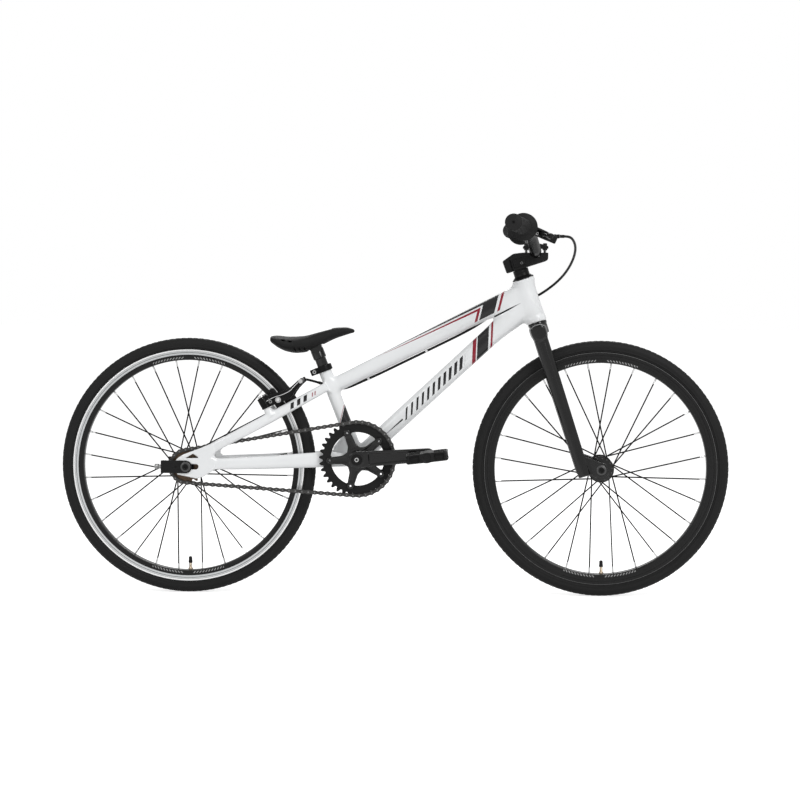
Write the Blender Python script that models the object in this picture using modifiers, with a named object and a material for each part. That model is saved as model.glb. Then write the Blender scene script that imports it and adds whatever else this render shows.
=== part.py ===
"""Junior BMX race bike. Front towards +X, drive side towards -Y, origin on the ground between the wheels."""
import math
import bpy
import bmesh
from mathutils import Matrix, Vector

GAP = 0.0003                    # clearance between pieces that touch
RUN = 0.0004                    # clearance between a turning piece and its shaft

# wheels
WHEELBASE = 0.818
TYRE_RADIUS = 0.2535
TYRE_HEIGHT = 0.0225            # from the rim's edge to the tread
TYRE_WIDTH = 0.028
TREAD_FLAT = 0.008
TYRE_WALL = 0.0028
RIM_RADIUS = TYRE_RADIUS - TYRE_HEIGHT
RIM_DEPTH = 0.022
RIM_WIDTH = 0.023
RIM_WALL = 0.0018
RIM_WELL = 0.010                # depth of the channel that holds the tyre
VALVE_RADIUS = 0.003
VALVE_LENGTH = 0.042
VALVE_ANGLE = math.radians(271.0)
WHEEL_STEPS = 32
SPOKES = 28
SPOKE_RADIUS = 0.001
SPOKE_OFFSET = 0.0011           # from the flange's middle, so that crossing spokes clear each other
SPOKE_CROSS = 2                 # how many spokes of its own side each one crosses
AXLE_RADIUS = 0.0048
FRONT_HUB_WIDTH = 0.100
REAR_HUB_WIDTH = 0.110
FRONT_FLANGE = 0.026
REAR_FLANGE = 0.028
FLANGE_THICKNESS = 0.003
FRONT_FLANGE_SPREAD = 0.030
REAR_FLANGE_LEFT = 0.030
REAR_FLANGE_RIGHT = 0.025
FRONT_HUB_BARREL = 0.014
REAR_HUB_BARREL = 0.017
LOCKNUT_RADIUS = 0.008
LOCKNUT_WIDTH = 0.005
AXLE_HEAD_RADIUS = 0.010
AXLE_HEAD_WIDTH = 0.005

# drive
BRACKET_RISE = 0.0175           # above the axles
BRACKET_HEIGHT = TYRE_RADIUS + BRACKET_RISE
TYRE_TO_BRACKET = 0.0845
CHAINSTAY_LENGTH = TYRE_RADIUS + TYRE_TO_BRACKET
CHAIN_PITCH = 0.0127
RING_TEETH = 36
COG_TEETH = 16
CHAIN_PLANE = -0.042
CHAIN_INNER_WIDTH = 0.0035
CHAIN_OUTER_WIDTH = 0.0082
CHAIN_PLATE = 0.0084
ROLLER_RADIUS = 0.0039
RING_THICKNESS = 0.0026
RING_BAND = 0.0165              # from the tooth roots inwards
RING_BOLT_CIRCLE = 0.055
RING_TAB_RADIUS = 0.0075
SPIDER_ARMS = 5
SPIDER_ARM_WIDTH = 0.0135
SPIDER_ARM_ROOT = 0.026         # the arms' width where their sides meet the axis
SPIDER_ROOT = 0.021
SPIDER_THICKNESS = 0.0055
SPIDER_START = math.radians(40.0)
CRANK_LENGTH = 0.140
CRANK_ANGLE = math.radians(4.4)
CRANK_INNER = 0.058
CRANK_THICKNESS = 0.014
CRANK_ROOT_HEIGHT = 0.0335
CRANK_TIP_HEIGHT = 0.0305
CRANK_BOSS_RADIUS = 0.016
SPINDLE_RADIUS = 0.0095
CRANK_BOLT_RADIUS = 0.0115
CRANK_BOLT_WIDTH = 0.004
SHELL_RADIUS = 0.020
SHELL_WIDTH = 0.068
SHELL_BORE = 0.0173
PEDAL_LENGTH = 0.082
PEDAL_WIDTH = 0.088
PEDAL_THICKNESS = 0.019
PEDAL_HOUSING_RADIUS = 0.0112
PEDAL_CLEARANCE = 0.006         # from the crank's face to the pedal
PEDAL_TILT = math.radians(7.0)
PEDAL_SPINDLE_RADIUS = 0.0042
PEDAL_THREAD_RADIUS = 0.007
FREEWHEEL_RADIUS = 0.0235
FREEWHEEL_BORE = 0.0152
FREEWHEEL_WIDTH = 0.012

# frame
HEAD_ANGLE = math.radians(72.0)
TYRE_TO_RACE = 0.0611           # along the steering axis
FORK_LENGTH = TYRE_RADIUS + TYRE_TO_RACE
FORK_RAKE = 0.0324
HEAD_LENGTH = 0.089
HEAD_TOP_RADIUS = 0.0215
HEAD_BOTTOM_RADIUS = 0.020
HEAD_WAIST_RADIUS = 0.01825
HEAD_BORE = 0.015
HEAD_COLLAR = 0.009
BEARING_RADIUS = 0.0178
BEARING_HEIGHT = 0.008
SEAT_ANGLE = math.radians(68.5)
SEAT_TUBE_LENGTH = 0.1962
SEAT_TUBE_RADIUS = 0.0127
SEAT_TUBE_WALL = 0.0012
TOP_TUBE_SEAT_JOIN = 0.1503     # along the seat tube from the bottom bracket
TOP_TUBE_HEAD_JOIN = 0.0218     # above the middle of the head tube
TOP_TUBE_REAR = (0.0118, 0.0145)
TOP_TUBE_FRONT = (0.0155, 0.0186)
DOWN_TUBE_HEAD_JOIN = 0.0013
DOWN_TUBE_REAR = (0.0165, 0.0170)
DOWN_TUBE_FRONT = (0.0170, 0.0180)
DOWN_TUBE_FLARE = 0.0070
DOWN_TUBE_FLARE_LENGTH = 0.085
STAY_HALF_WIDTH = 0.007
CHAINSTAY_REAR_HEIGHT = 0.024
CHAINSTAY_FRONT_HEIGHT = 0.030
CHAINSTAY_FRONT_SPREAD = 0.0245
CHAINSTAY_WAIST_SPREAD = 0.028
CHAINSTAY_WAIST_X = 0.249       # from the rear axle
CHAINSTAY_SAG = 0.004           # how far the waist hangs below the bottom bracket
SEATSTAY_REAR_HEIGHT = 0.022
SEATSTAY_FRONT_HEIGHT = 0.018
SEATSTAY_WIDE_X = 0.109         # from the rear axle, where the stays start to draw in
SEATSTAY_SEAT_JOIN = 0.1553     # along the seat tube from the bottom bracket
SEATSTAY_FRONT_SPREAD = 0.0135
SEATSTAY_REAR_X = 0.051
SEATSTAY_REAR_Z = 0.0337
CHAINSTAY_REAR_X = 0.057
CHAINSTAY_REAR_Z = 0.0065
DROPOUT_THICKNESS = 0.005
DROPOUT_SLOT_END = 0.025
TUG_THICKNESS = 0.0027
TUG_LENGTH = 0.049
TUG_RADIUS = 0.0125
TUG_BOLT_RADIUS = 0.0045
TUG_BOLT_LENGTH = 0.009
YOKE_HALF_WIDTH = 0.011

# seat
POST_RADIUS = 0.0111
POST_INSERT = 0.097
POST_HEAD_RADIUS = 0.0133
POST_SHOWN = 0.0158             # the thin part, above the seat tube
POST_HEAD_START = SEAT_TUBE_LENGTH + POST_SHOWN
PIVOT_RISE = 0.0398             # above the seat tube
SADDLE_PIVOT = SEAT_TUBE_LENGTH + PIVOT_RISE
SADDLE_AHEAD = 0.002
SADDLE_LENGTH = 0.166
SADDLE_WIDTH = 0.126
SADDLE_THROAT = (0.036, 0.040)  # the opening for the post: along the bike, and down
# where each section is, its underside, its top, and half its width, as shares of the saddle's size
SADDLE_SHAPE = (
    (-0.54518, 0.06928, 0.12349, 0.34921),
    (-0.50602, 0.01807, 0.13554, 0.46032),
    (-0.38554, -0.05120, 0.12651, 0.50000),
    (-0.25904, -0.07831, 0.12048, 0.43651),
    (-0.12048, -0.06627, 0.13554, 0.29365),
    (0.04819, 0.01205, 0.18675, 0.19048),
    (0.21687, 0.09940, 0.23193, 0.14683),
    (0.38554, 0.15663, 0.23795, 0.11508),
    (0.45482, 0.17771, 0.20482, 0.07143),
)
SADDLE_PIVOT_RADIUS = 0.0125
SADDLE_PIVOT_WIDTH = 0.026
CLAMP_RADIUS = 0.0165
CLAMP_HEIGHT = 0.0124
CLAMP_EAR = 0.028
CLAMP_EAR_WIDTH = 0.016

# brake
BRAKE_INSIDE_RIM = 0.036
BRAKE_STATION = RIM_RADIUS - BRAKE_INSIDE_RIM    # along the seatstays' line from the rear axle's level
BRAKE_POST_SPREAD = 0.040
BRAKE_BOSS_RADIUS = 0.008
BRAKE_BOSS_HEIGHT = 0.019
BRAKE_POST_RADIUS = 0.004
BRAKE_ARM_DEPTH = 0.0235
BRAKE_ARM_LENGTH = 0.0843
BRAKE_ARM_HALF = 0.006
BRAKE_BOLT_RADIUS = 0.0065
BRAKE_BOLT_WIDTH = 0.0035
PAD_LENGTH = 0.054
PAD_HEIGHT = 0.011
PAD_THICKNESS = 0.010
PAD_CLEARANCE = 0.002
NOODLE_RADIUS = 0.0025
WIRE_RADIUS = 0.0008
BOOT_RADIUS = 0.0042
CABLE_RADIUS = 0.0025
CLIP_RADIUS = 0.0031
CLIP_LENGTH = 0.004
# the free cables' ways: ahead of an axis, up along it, and to the left
FRONT_CABLE = (                 # from the middle of the head tube
    (-0.0241, 0.0010, 0.0260),
    (-0.0043, 0.0024, 0.0285),
    (0.0189, 0.0038, 0.0265),
    (0.0476, 0.0130, 0.0120),
    (0.0672, 0.0216, -0.0120),
    (0.0852, 0.0331, -0.0430),
    (0.1008, 0.0487, -0.0790),
    (0.1104, 0.0644, -0.1120),
    (0.1136, 0.0778, -0.1400),
    (0.1101, 0.0904, -0.1590),
)
REAR_CABLE = (                  # from the bottom bracket, along the seat tube
    (0.0262, 0.1348, 0.0110),
    (0.0150, 0.1419, 0.0215),
    (0.0027, 0.1515, 0.0270),
    (-0.0094, 0.1617, 0.0350),
)

# steering
STEERER_RADIUS = 0.0127
CROWN_HEIGHT = 0.030
CROWN_HALF_DEPTH = 0.0165
FORK_TOP_SPREAD = 0.040
FORK_BOTTOM_SPREAD = 0.0570
FORK_LEG_TOP = (0.0095, 0.0138)
FORK_LEG_BOTTOM = (0.0070, 0.0120)
FORK_LEG_SETBACK = 0.003
FORK_DROPOUT_THICKNESS = 0.006
COVER_RADIUS = 0.0218
COVER_HEIGHT = 0.007
SPACER_RADIUS = 0.0155
SPACER_HEIGHT = 0.013
STEM_WIDTH = 0.050
BAR_RADIUS = 0.0111
BAR_FORWARD = 0.0393            # in front of the steering axis
BAR_ABOVE = 0.0892              # above the middle of the head tube, along the axis
BAR_CENTRE_HALF = 0.045
BAR_RISE = 0.040
BAR_BEND = 0.035
BAR_SWEEP_RISE = (0.0143, 0.130)
BAR_END = (0.0472, 0.310, 0.0492)
GRIP_LENGTH = 0.115
GRIP_RADIUS = 0.0165
GRIP_FLANGE = 0.027
GRIP_END = 0.003
LEVER_Y = 0.175
LEVER_ANGLE = math.radians(24.0)
LEVER_REACH = 0.036
LEVER_RAISE = 0.002             # from the bar's middle to the lever body's
LEVER_THICKNESS = 0.007
BARREL_RADIUS = 0.004

STEP_ANGLE = 2.0 * math.pi / WHEEL_STEPS
ACROSS = Vector((0.0, 1.0, 0.0))
UP = Vector((0.0, 0.0, 1.0))
AHEAD = Vector((1.0, 0.0, 0.0))

for old in list(bpy.data.objects):
    bpy.data.objects.remove(old, do_unlink=True)
PARTS = bpy.data.collections.new("bmx_race_bike")
bpy.context.scene.collection.children.link(PARTS)


# shape helpers

def place(at, along=UP, hint=AHEAD):
    """Matrix with local Z along a direction, and local X leaning towards the hint."""
    z = Vector(along).normalized()
    x = (Vector(hint) - z * z.dot(Vector(hint))).normalized()
    turn = Matrix((x, z.cross(x), z)).transposed()
    return Matrix.Translation(Vector(at)) @ turn.to_4x4()


def add(name, mesh, matrix=Matrix()):
    """A new object of the bike."""
    obj = bpy.data.objects.new(name, mesh)
    obj.matrix_world = matrix
    PARTS.objects.link(obj)
    return obj


def add_bmesh(name, bm, matrix=Matrix()):
    """A new object from an edit mesh."""
    mesh = bpy.data.meshes.new(name)
    bm.to_mesh(mesh)
    bm.free()
    return add(name, mesh, matrix)


def rod(name, start, end, radius, end_radius=None, sides=20, hint=AHEAD):
    """A round bar or cone from one point to another."""
    start = Vector(start)
    end = Vector(end)
    last = radius if end_radius is None else end_radius
    bm = bmesh.new()
    bmesh.ops.create_cone(bm, cap_ends=True, segments=sides, radius1=radius, radius2=last,
                          depth=(end - start).length)
    return add_bmesh(name, bm, place((start + end) / 2, end - start, hint))


def cross_rod(name, x, z, y_start, y_end, radius, sides=20):
    """A round bar across the bike."""
    low = min(y_start, y_end)
    high = max(y_start, y_end)
    return rod(name, (x, low, z), (x, high, z), radius, sides=sides)


def block(name, size, at, along=UP, hint=AHEAD):
    """A box whose sides lie along the hint, across it, and along the given direction."""
    bm = bmesh.new()
    bmesh.ops.create_cube(bm, size=1.0)
    bmesh.ops.scale(bm, vec=Vector(size), verts=bm.verts)
    return add_bmesh(name, bm, place(at, along, hint))


def turned(name, profile, at, along, steps=24, ring=False, hint=AHEAD, phase=0.0):
    """A profile of (radius, height) pairs, listed down its outer side, turned about an axis."""
    count = len(profile)
    edges = [(i, i + 1) for i in range(count - 1)]
    if ring:
        edges.append((count - 1, 0))
    mesh = bpy.data.meshes.new(name)
    mesh.from_pydata([(r, 0.0, h) for r, h in profile], edges, [])
    obj = add(name, mesh, place(at, along, hint) @ Matrix.Rotation(phase, 4, "Z"))
    screw = obj.modifiers.new("turn", "SCREW")
    screw.steps = steps
    screw.render_steps = steps
    screw.use_merge_vertices = True
    screw.merge_threshold = 0.00001
    return bake(obj)


def pipe(name, start, end, radius, bore, sides=20, hint=AHEAD):
    """A round tube with a bore right through."""
    start = Vector(start)
    end = Vector(end)
    length = (end - start).length
    profile = [(radius, length), (radius, 0.0), (bore, 0.0), (bore, length)]
    return turned(name, profile, start, end - start, sides, ring=True, hint=hint)


def wire(name, points, radius, resolution=2):
    """A round wire or hose along a list of points."""
    curve = bpy.data.curves.new(name, "CURVE")
    curve.dimensions = "3D"
    curve.bevel_depth = radius
    curve.bevel_resolution = resolution
    curve.use_fill_caps = True
    spline = curve.splines.new("POLY")
    spline.points.add(len(points) - 1)
    for slot, point in zip(spline.points, points):
        slot.co = (*point, 1.0)
    return bake(add(name, curve))


def plate(name, outlines, thickness, y):
    """Flat outlines of (x, z) points, filled and given a thickness about the plane at y."""
    curve = bpy.data.curves.new(name, "CURVE")
    curve.dimensions = "2D"
    curve.fill_mode = "BOTH"
    curve.extrude = thickness / 2
    for outline in outlines:
        spline = curve.splines.new("POLY")
        spline.points.add(len(outline) - 1)
        spline.use_cyclic_u = True
        for slot, point in zip(spline.points, outline):
            slot.co = (point[0], point[1], 0.0, 1.0)
    matrix = Matrix.Translation((0.0, y, 0.0)) @ Matrix.Rotation(math.pi / 2, 4, "X")
    return bake(add(name, curve, matrix))


def loft(name, sections, sides=16, square=2.0):
    """A skin over sections of (centre, half width, half height, up), with both ends closed."""
    bm = bmesh.new()
    rings = []
    for centre, half_width, half_height, up in sections:
        ring = []
        for i in range(sides):
            angle = 2.0 * math.pi * (i + 0.5) / sides
            c = math.cos(angle)
            s = math.sin(angle)
            c = math.copysign(abs(c) ** (2.0 / square), c)
            s = math.copysign(abs(s) ** (2.0 / square), s)
            spot = Vector(centre) + ACROSS * (half_width * c) + Vector(up) * (half_height * s)
            ring.append(bm.verts.new(spot))
        rings.append(ring)
    for ring, after in zip(rings, rings[1:]):
        for i in range(sides):
            j = (i + 1) % sides
            bm.faces.new((ring[i], ring[j], after[j], after[i]))
    bm.faces.new(rings[0])
    bm.faces.new(rings[-1])
    bmesh.ops.recalc_face_normals(bm, faces=bm.faces)
    return add_bmesh(name, bm)


def bake(obj):
    """The same object as a plain mesh, with its modifiers applied and its caps welded."""
    bpy.context.view_layer.update()
    graph = bpy.context.evaluated_depsgraph_get()
    mesh = bpy.data.meshes.new_from_object(obj.evaluated_get(graph))
    bm = bmesh.new()
    bm.from_mesh(mesh)
    bmesh.ops.remove_doubles(bm, verts=bm.verts, dist=0.000002)
    bmesh.ops.recalc_face_normals(bm, faces=bm.faces)
    bm.to_mesh(mesh)
    bm.free()
    name = obj.name
    matrix = obj.matrix_world.copy()
    bpy.data.objects.remove(obj, do_unlink=True)
    mesh.name = name
    return add(name, mesh, matrix)


def combine(obj, others, operation):
    """Joins other solids to this one, or cuts them from it, one after another."""
    for other in others:
        boolean = obj.modifiers.new(operation.lower(), "BOOLEAN")
        boolean.operation = operation
        boolean.object = other
        obj = bake(obj)
        bpy.data.objects.remove(other, do_unlink=True)
    return obj


def join(obj, *others):
    return combine(obj, others, "UNION")


def cut(obj, *others):
    return combine(obj, others, "DIFFERENCE")


def join_many(obj, others):
    """Joins a whole set of small solids in one go."""
    group = bpy.data.collections.new("joined")
    bpy.context.scene.collection.children.link(group)
    for other in others:
        group.objects.link(other)
    boolean = obj.modifiers.new("union", "BOOLEAN")
    boolean.operation = "UNION"
    boolean.operand_type = "COLLECTION"
    boolean.collection = group
    obj = bake(obj)
    for other in others:
        bpy.data.objects.remove(other, do_unlink=True)
    bpy.data.collections.remove(group)
    return obj


def finish(obj, colour, roughness, metallic=0.0, crease=35.0):
    """Gives a piece its own material and smooth round faces."""
    material = bpy.data.materials.new(obj.name)
    material.use_nodes = True
    shader = material.node_tree.nodes["Principled BSDF"]
    shader.inputs["Base Color"].default_value = (*colour, 1.0)
    shader.inputs["Roughness"].default_value = roughness
    shader.inputs["Metallic"].default_value = metallic
    obj.data.materials.clear()
    obj.data.materials.append(material)
    obj.data.shade_smooth()
    obj.data.set_sharp_from_angle(angle=math.radians(crease))
    return obj


def hang(name, at, objects):
    """Parents moving pieces to an empty on their joint's axis."""
    pivot = bpy.data.objects.new(name, None)
    PARTS.objects.link(pivot)
    pivot.location = at
    bpy.context.view_layer.update()
    for obj in objects:
        obj.parent = pivot
        obj.matrix_parent_inverse = pivot.matrix_world.inverted()
    return pivot


def white_paint(obj):
    return finish(obj, (0.85, 0.87, 0.88), 0.28)


def black_paint(obj):
    return finish(obj, (0.015, 0.015, 0.017), 0.35)


def black_plastic(obj):
    return finish(obj, (0.02, 0.02, 0.022), 0.55)


def rubber(obj):
    return finish(obj, (0.025, 0.025, 0.027), 0.8)


def steel(obj):
    return finish(obj, (0.6, 0.6, 0.6), 0.3, 1.0)


# driving points and directions, in the middle plane of the bike

REAR_AXLE = Vector((-WHEELBASE / 2, 0.0, TYRE_RADIUS))
FRONT_AXLE = Vector((WHEELBASE / 2, 0.0, TYRE_RADIUS))
BRACKET = Vector((REAR_AXLE.x + CHAINSTAY_LENGTH, 0.0, BRACKET_HEIGHT))
STEER_UP = Vector((-math.cos(HEAD_ANGLE), 0.0, math.sin(HEAD_ANGLE)))
STEER_AHEAD = Vector((math.sin(HEAD_ANGLE), 0.0, math.cos(HEAD_ANGLE)))
HEAD = FRONT_AXLE - STEER_AHEAD * FORK_RAKE + STEER_UP * (FORK_LENGTH + HEAD_LENGTH / 2)
SEAT_UP = Vector((-math.cos(SEAT_ANGLE), 0.0, math.sin(SEAT_ANGLE)))
SEAT_AHEAD = Vector((math.sin(SEAT_ANGLE), 0.0, math.cos(SEAT_ANGLE)))
TOP_TUBE_START = BRACKET + SEAT_UP * TOP_TUBE_SEAT_JOIN
TOP_TUBE_END = HEAD + STEER_UP * TOP_TUBE_HEAD_JOIN
TOP_TUBE_ALONG = (TOP_TUBE_END - TOP_TUBE_START).normalized()
TOP_TUBE_UP = Vector((-TOP_TUBE_ALONG.z, 0.0, TOP_TUBE_ALONG.x))
DOWN_TUBE_END = HEAD + STEER_UP * DOWN_TUBE_HEAD_JOIN
VALVE_OUT = Vector((math.cos(VALVE_ANGLE), 0.0, math.sin(VALVE_ANGLE)))
DROPOUT_INNER = REAR_HUB_WIDTH / 2
STAY_REAR_SPREAD = DROPOUT_INNER + DROPOUT_THICKNESS / 2 - 0.0005
CHAINSTAY_REAR = REAR_AXLE + Vector((CHAINSTAY_REAR_X, 0.0, CHAINSTAY_REAR_Z))
SEATSTAY_REAR = REAR_AXLE + Vector((SEATSTAY_REAR_X, 0.0, SEATSTAY_REAR_Z))
SEATSTAY_TOP = BRACKET + SEAT_UP * SEATSTAY_SEAT_JOIN
STAY_ALONG = (SEATSTAY_TOP - SEATSTAY_REAR).normalized()
STAY_UP = Vector((-STAY_ALONG.z, 0.0, STAY_ALONG.x))
BRAKE_BASE = REAR_AXLE + STAY_ALONG * BRAKE_STATION
BRAKE_BASE += STAY_UP * (SEATSTAY_REAR - BRAKE_BASE).dot(STAY_UP)


def on_plane(point, y):
    return Vector((point.x, y, point.z))


def local(origin, along, up, a, b, y=0.0):
    """A point given by its distances along two directions from an origin, at a distance to one side."""
    spot = origin + along * a + up * b
    return Vector((spot.x, y, spot.z))


def steer_point(ahead, above, y=0.0):
    return local(HEAD, STEER_AHEAD, STEER_UP, ahead, above, y)


def stay_point(along, above, y=0.0):
    return local(BRAKE_BASE, STAY_ALONG, STAY_UP, along, above, y)


def arc(centre_x, centre_z, radius, start, end, count):
    """Points of (x, z) along an arc, angles in degrees."""
    spots = []
    for i in range(count):
        angle = math.radians(start + (end - start) * i / (count - 1))
        spots.append((centre_x + radius * math.cos(angle), centre_z + radius * math.sin(angle)))
    return spots


# frame

def head_outline(extra=0.0):
    half = HEAD_LENGTH / 2
    return [
        (HEAD_TOP_RADIUS + extra, half),
        (HEAD_TOP_RADIUS + extra, half - HEAD_COLLAR),
        (HEAD_WAIST_RADIUS + extra, half - 2 * HEAD_COLLAR),
        (HEAD_WAIST_RADIUS + extra, 2 * HEAD_COLLAR - half),
        (HEAD_BOTTOM_RADIUS + extra, HEAD_COLLAR - half),
        (HEAD_BOTTOM_RADIUS + extra, -half),
    ]


def head_cutter():
    profile = head_outline(GAP)
    profile = [(0.0, profile[0][1])] + profile + [(0.0, profile[-1][1])]
    return turned("head_cutter", profile, HEAD, STEER_UP, 20, hint=STEER_AHEAD)


def seat_tube_cutter():
    return rod("seat_cutter", BRACKET, BRACKET + SEAT_UP * (SEAT_TUBE_LENGTH + 0.05),
               SEAT_TUBE_RADIUS + GAP, sides=24, hint=SEAT_AHEAD)


def shell_cutter():
    half = SHELL_WIDTH / 2 + GAP
    return cross_rod("shell_cutter", BRACKET.x, BRACKET.z, -half, half, SHELL_RADIUS + GAP, 24)


def top_tube_body(name, extra=0.0):
    rear, front = TOP_TUBE_REAR, TOP_TUBE_FRONT
    return loft(name, [
        (TOP_TUBE_START, rear[0] + extra, rear[1] + extra, TOP_TUBE_UP),
        (TOP_TUBE_END, front[0] + extra, front[1] + extra, TOP_TUBE_UP),
    ])


def make_head_tube():
    half = HEAD_LENGTH / 2
    recess = BEARING_RADIUS + GAP
    inner = [
        (recess, -half),
        (recess, HEAD_COLLAR - half),
        (HEAD_BORE, HEAD_COLLAR - half),
        (HEAD_BORE, half - HEAD_COLLAR),
        (recess, half - HEAD_COLLAR),
        (recess, half),
    ]
    return turned("head_tube", head_outline() + inner, HEAD, STEER_UP, 20, ring=True,
                  hint=STEER_AHEAD)


def make_top_tube():
    return cut(top_tube_body("top_tube"), head_cutter(), seat_tube_cutter())


def make_down_tube():
    along = (DOWN_TUBE_END - BRACKET).normalized()
    up = Vector((-along.z, 0.0, along.x))
    flare_start = DOWN_TUBE_END - along * DOWN_TUBE_FLARE_LENGTH
    rear, front = DOWN_TUBE_REAR, DOWN_TUBE_FRONT
    tube = loft("down_tube", [
        (BRACKET, rear[0], rear[1], up),
        (flare_start, front[0], front[1], up),
        (DOWN_TUBE_END - up * DOWN_TUBE_FLARE, front[0], front[1] + DOWN_TUBE_FLARE, up),
    ])
    return cut(tube, shell_cutter(), head_cutter(), top_tube_body("tube_cutter", GAP),
               seat_tube_cutter())


def make_seat_tube():
    tube = pipe("seat_tube", BRACKET, BRACKET + SEAT_UP * SEAT_TUBE_LENGTH, SEAT_TUBE_RADIUS,
                SEAT_TUBE_RADIUS - SEAT_TUBE_WALL, 24, hint=SEAT_AHEAD)
    return cut(tube, shell_cutter())


def make_shell():
    half = SHELL_WIDTH / 2
    centre = on_plane(BRACKET, 0.0)
    shell = pipe("bottom_bracket_shell", centre - ACROSS * half, centre + ACROSS * half,
                 SHELL_RADIUS, SHELL_BORE)
    low, high = SHELL_RADIUS * 0.3, CHAINSTAY_FRONT_HEIGHT / 2 + 0.029
    back, front = -0.050, -0.017
    yoke = block("yoke", (front - back, 2 * YOKE_HALF_WIDTH, high - low),
                 BRACKET + Vector(((front + back) / 2, 0.0, (low + high) / 2)))
    bore = cross_rod("bore_cutter", BRACKET.x, BRACKET.z, -half, half, SHELL_BORE + 0.001)
    return join(shell, cut(yoke, bore, seat_tube_cutter()))


def make_chainstay(side):
    name = "chainstay_right" if side < 0 else "chainstay_left"
    waist = REAR_AXLE + AHEAD * CHAINSTAY_WAIST_X
    waist.z = BRACKET.z - CHAINSTAY_SAG
    low_front = BRACKET - UP * CHAINSTAY_SAG / 2
    half = STAY_HALF_WIDTH
    rear = CHAINSTAY_REAR_HEIGHT / 2
    front = CHAINSTAY_FRONT_HEIGHT / 2
    stay = loft(name, [
        (on_plane(CHAINSTAY_REAR, side * STAY_REAR_SPREAD), half, rear, UP),
        (on_plane(waist, side * CHAINSTAY_WAIST_SPREAD), half, front, UP),
        (on_plane(low_front, side * CHAINSTAY_FRONT_SPREAD), half, front - 0.0015, UP),
    ], 12)
    return cut(stay, shell_cutter())


def make_seatstay(side):
    name = "seatstay_right" if side < 0 else "seatstay_left"
    wide_along = (SEATSTAY_WIDE_X - SEATSTAY_REAR_X) / STAY_ALONG.x
    wide = SEATSTAY_REAR + STAY_ALONG * wide_along
    half = STAY_HALF_WIDTH
    rear = SEATSTAY_REAR_HEIGHT / 2
    front = SEATSTAY_FRONT_HEIGHT / 2
    middle = (rear + front) / 2
    end = SEATSTAY_TOP - STAY_ALONG * 0.004
    stay = loft(name, [
        (on_plane(SEATSTAY_REAR, side * STAY_REAR_SPREAD), half, rear, STAY_UP),
        (on_plane(wide, side * STAY_REAR_SPREAD), half, rear, STAY_UP),
        (on_plane(BRAKE_BASE, side * BRAKE_POST_SPREAD), half, middle, STAY_UP),
        (on_plane(end, side * SEATSTAY_FRONT_SPREAD), half * 0.85, front, STAY_UP),
    ], 12)
    y = side * BRAKE_POST_SPREAD
    boss = rod("boss", stay_point(0.0, 0.0, y), stay_point(0.0, BRAKE_BOSS_HEIGHT, y),
               BRAKE_BOSS_RADIUS, sides=16, hint=STAY_ALONG)
    return cut(join(stay, boss), seat_tube_cutter())


def make_dropout(side):
    name = "dropout_right" if side < 0 else "dropout_left"
    x, z = REAR_AXLE.x, REAR_AXLE.z
    lower = CHAINSTAY_REAR_HEIGHT / 2
    upper = SEATSTAY_REAR_HEIGHT / 2
    chain_edge = CHAINSTAY_REAR - AHEAD * GAP
    seat_edge = SEATSTAY_REAR - STAY_ALONG * GAP
    high = seat_edge + STAY_UP * upper
    low = seat_edge - STAY_UP * upper
    slot = AXLE_RADIUS + RUN
    outline = [
        (chain_edge.x, chain_edge.z + lower),
        (low.x, low.z),
        (high.x, high.z),
        (x - 0.004, z + 0.0247),
        (x - 0.0205, z + 0.0124),
        (x - 0.0205, z + slot),
        (x + DROPOUT_SLOT_END - 0.004, z + slot),
        (x + DROPOUT_SLOT_END, z + slot - 0.003),
        (x + DROPOUT_SLOT_END, z - slot + 0.003),
        (x + DROPOUT_SLOT_END - 0.004, z - slot),
        (x - 0.0180, z - slot),
        (x - 0.0162, z - 0.0155),
        (x, z - 0.0187),
        (x + 0.0206, z - 0.0232),
        (x + 0.0362, z - 0.0189),
        (chain_edge.x, chain_edge.z - lower),
    ]
    window = [(x + 0.003, z + 0.0180), (x + 0.0147, z + 0.0245), (x + 0.0262, z + 0.0190)]
    y = side * (DROPOUT_INNER + DROPOUT_THICKNESS / 2)
    return plate(name, [outline, window], DROPOUT_THICKNESS, y)


def make_tug(side):
    name = "chain_tug_right" if side < 0 else "chain_tug_left"
    x, z = REAR_AXLE.x, REAR_AXLE.z
    outline = arc(x, z, TUG_RADIUS, 90.0, -90.0, 9)
    outline += [(x - TUG_LENGTH, z - TUG_RADIUS), (x - TUG_LENGTH, z + TUG_RADIUS)]
    hole = arc(x, z, AXLE_RADIUS + RUN + 0.0003, 0.0, 337.5, 16)
    start = DROPOUT_INNER + DROPOUT_THICKNESS + GAP
    body = plate(name, [outline, hole], TUG_THICKNESS, side * (start + TUG_THICKNESS / 2))
    y = side * (start - TUG_BOLT_RADIUS + 0.001)
    heel_long = 0.012
    heel_width = DROPOUT_THICKNESS + TUG_THICKNESS - GAP
    heel_y = side * (start + TUG_THICKNESS - GAP - heel_width / 2)
    heel = block("heel", (heel_long, heel_width, 2 * (TUG_RADIUS - GAP)),
                 (x - TUG_LENGTH + heel_long / 2 + GAP, heel_y, z))
    head_start = x - TUG_LENGTH - TUG_BOLT_LENGTH
    bolt = rod("bolt", (head_start, y, z), (x - TUG_LENGTH + 0.004, y, z), TUG_BOLT_RADIUS, sides=12,
               hint=UP)
    return join(body, heel, bolt)


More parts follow.
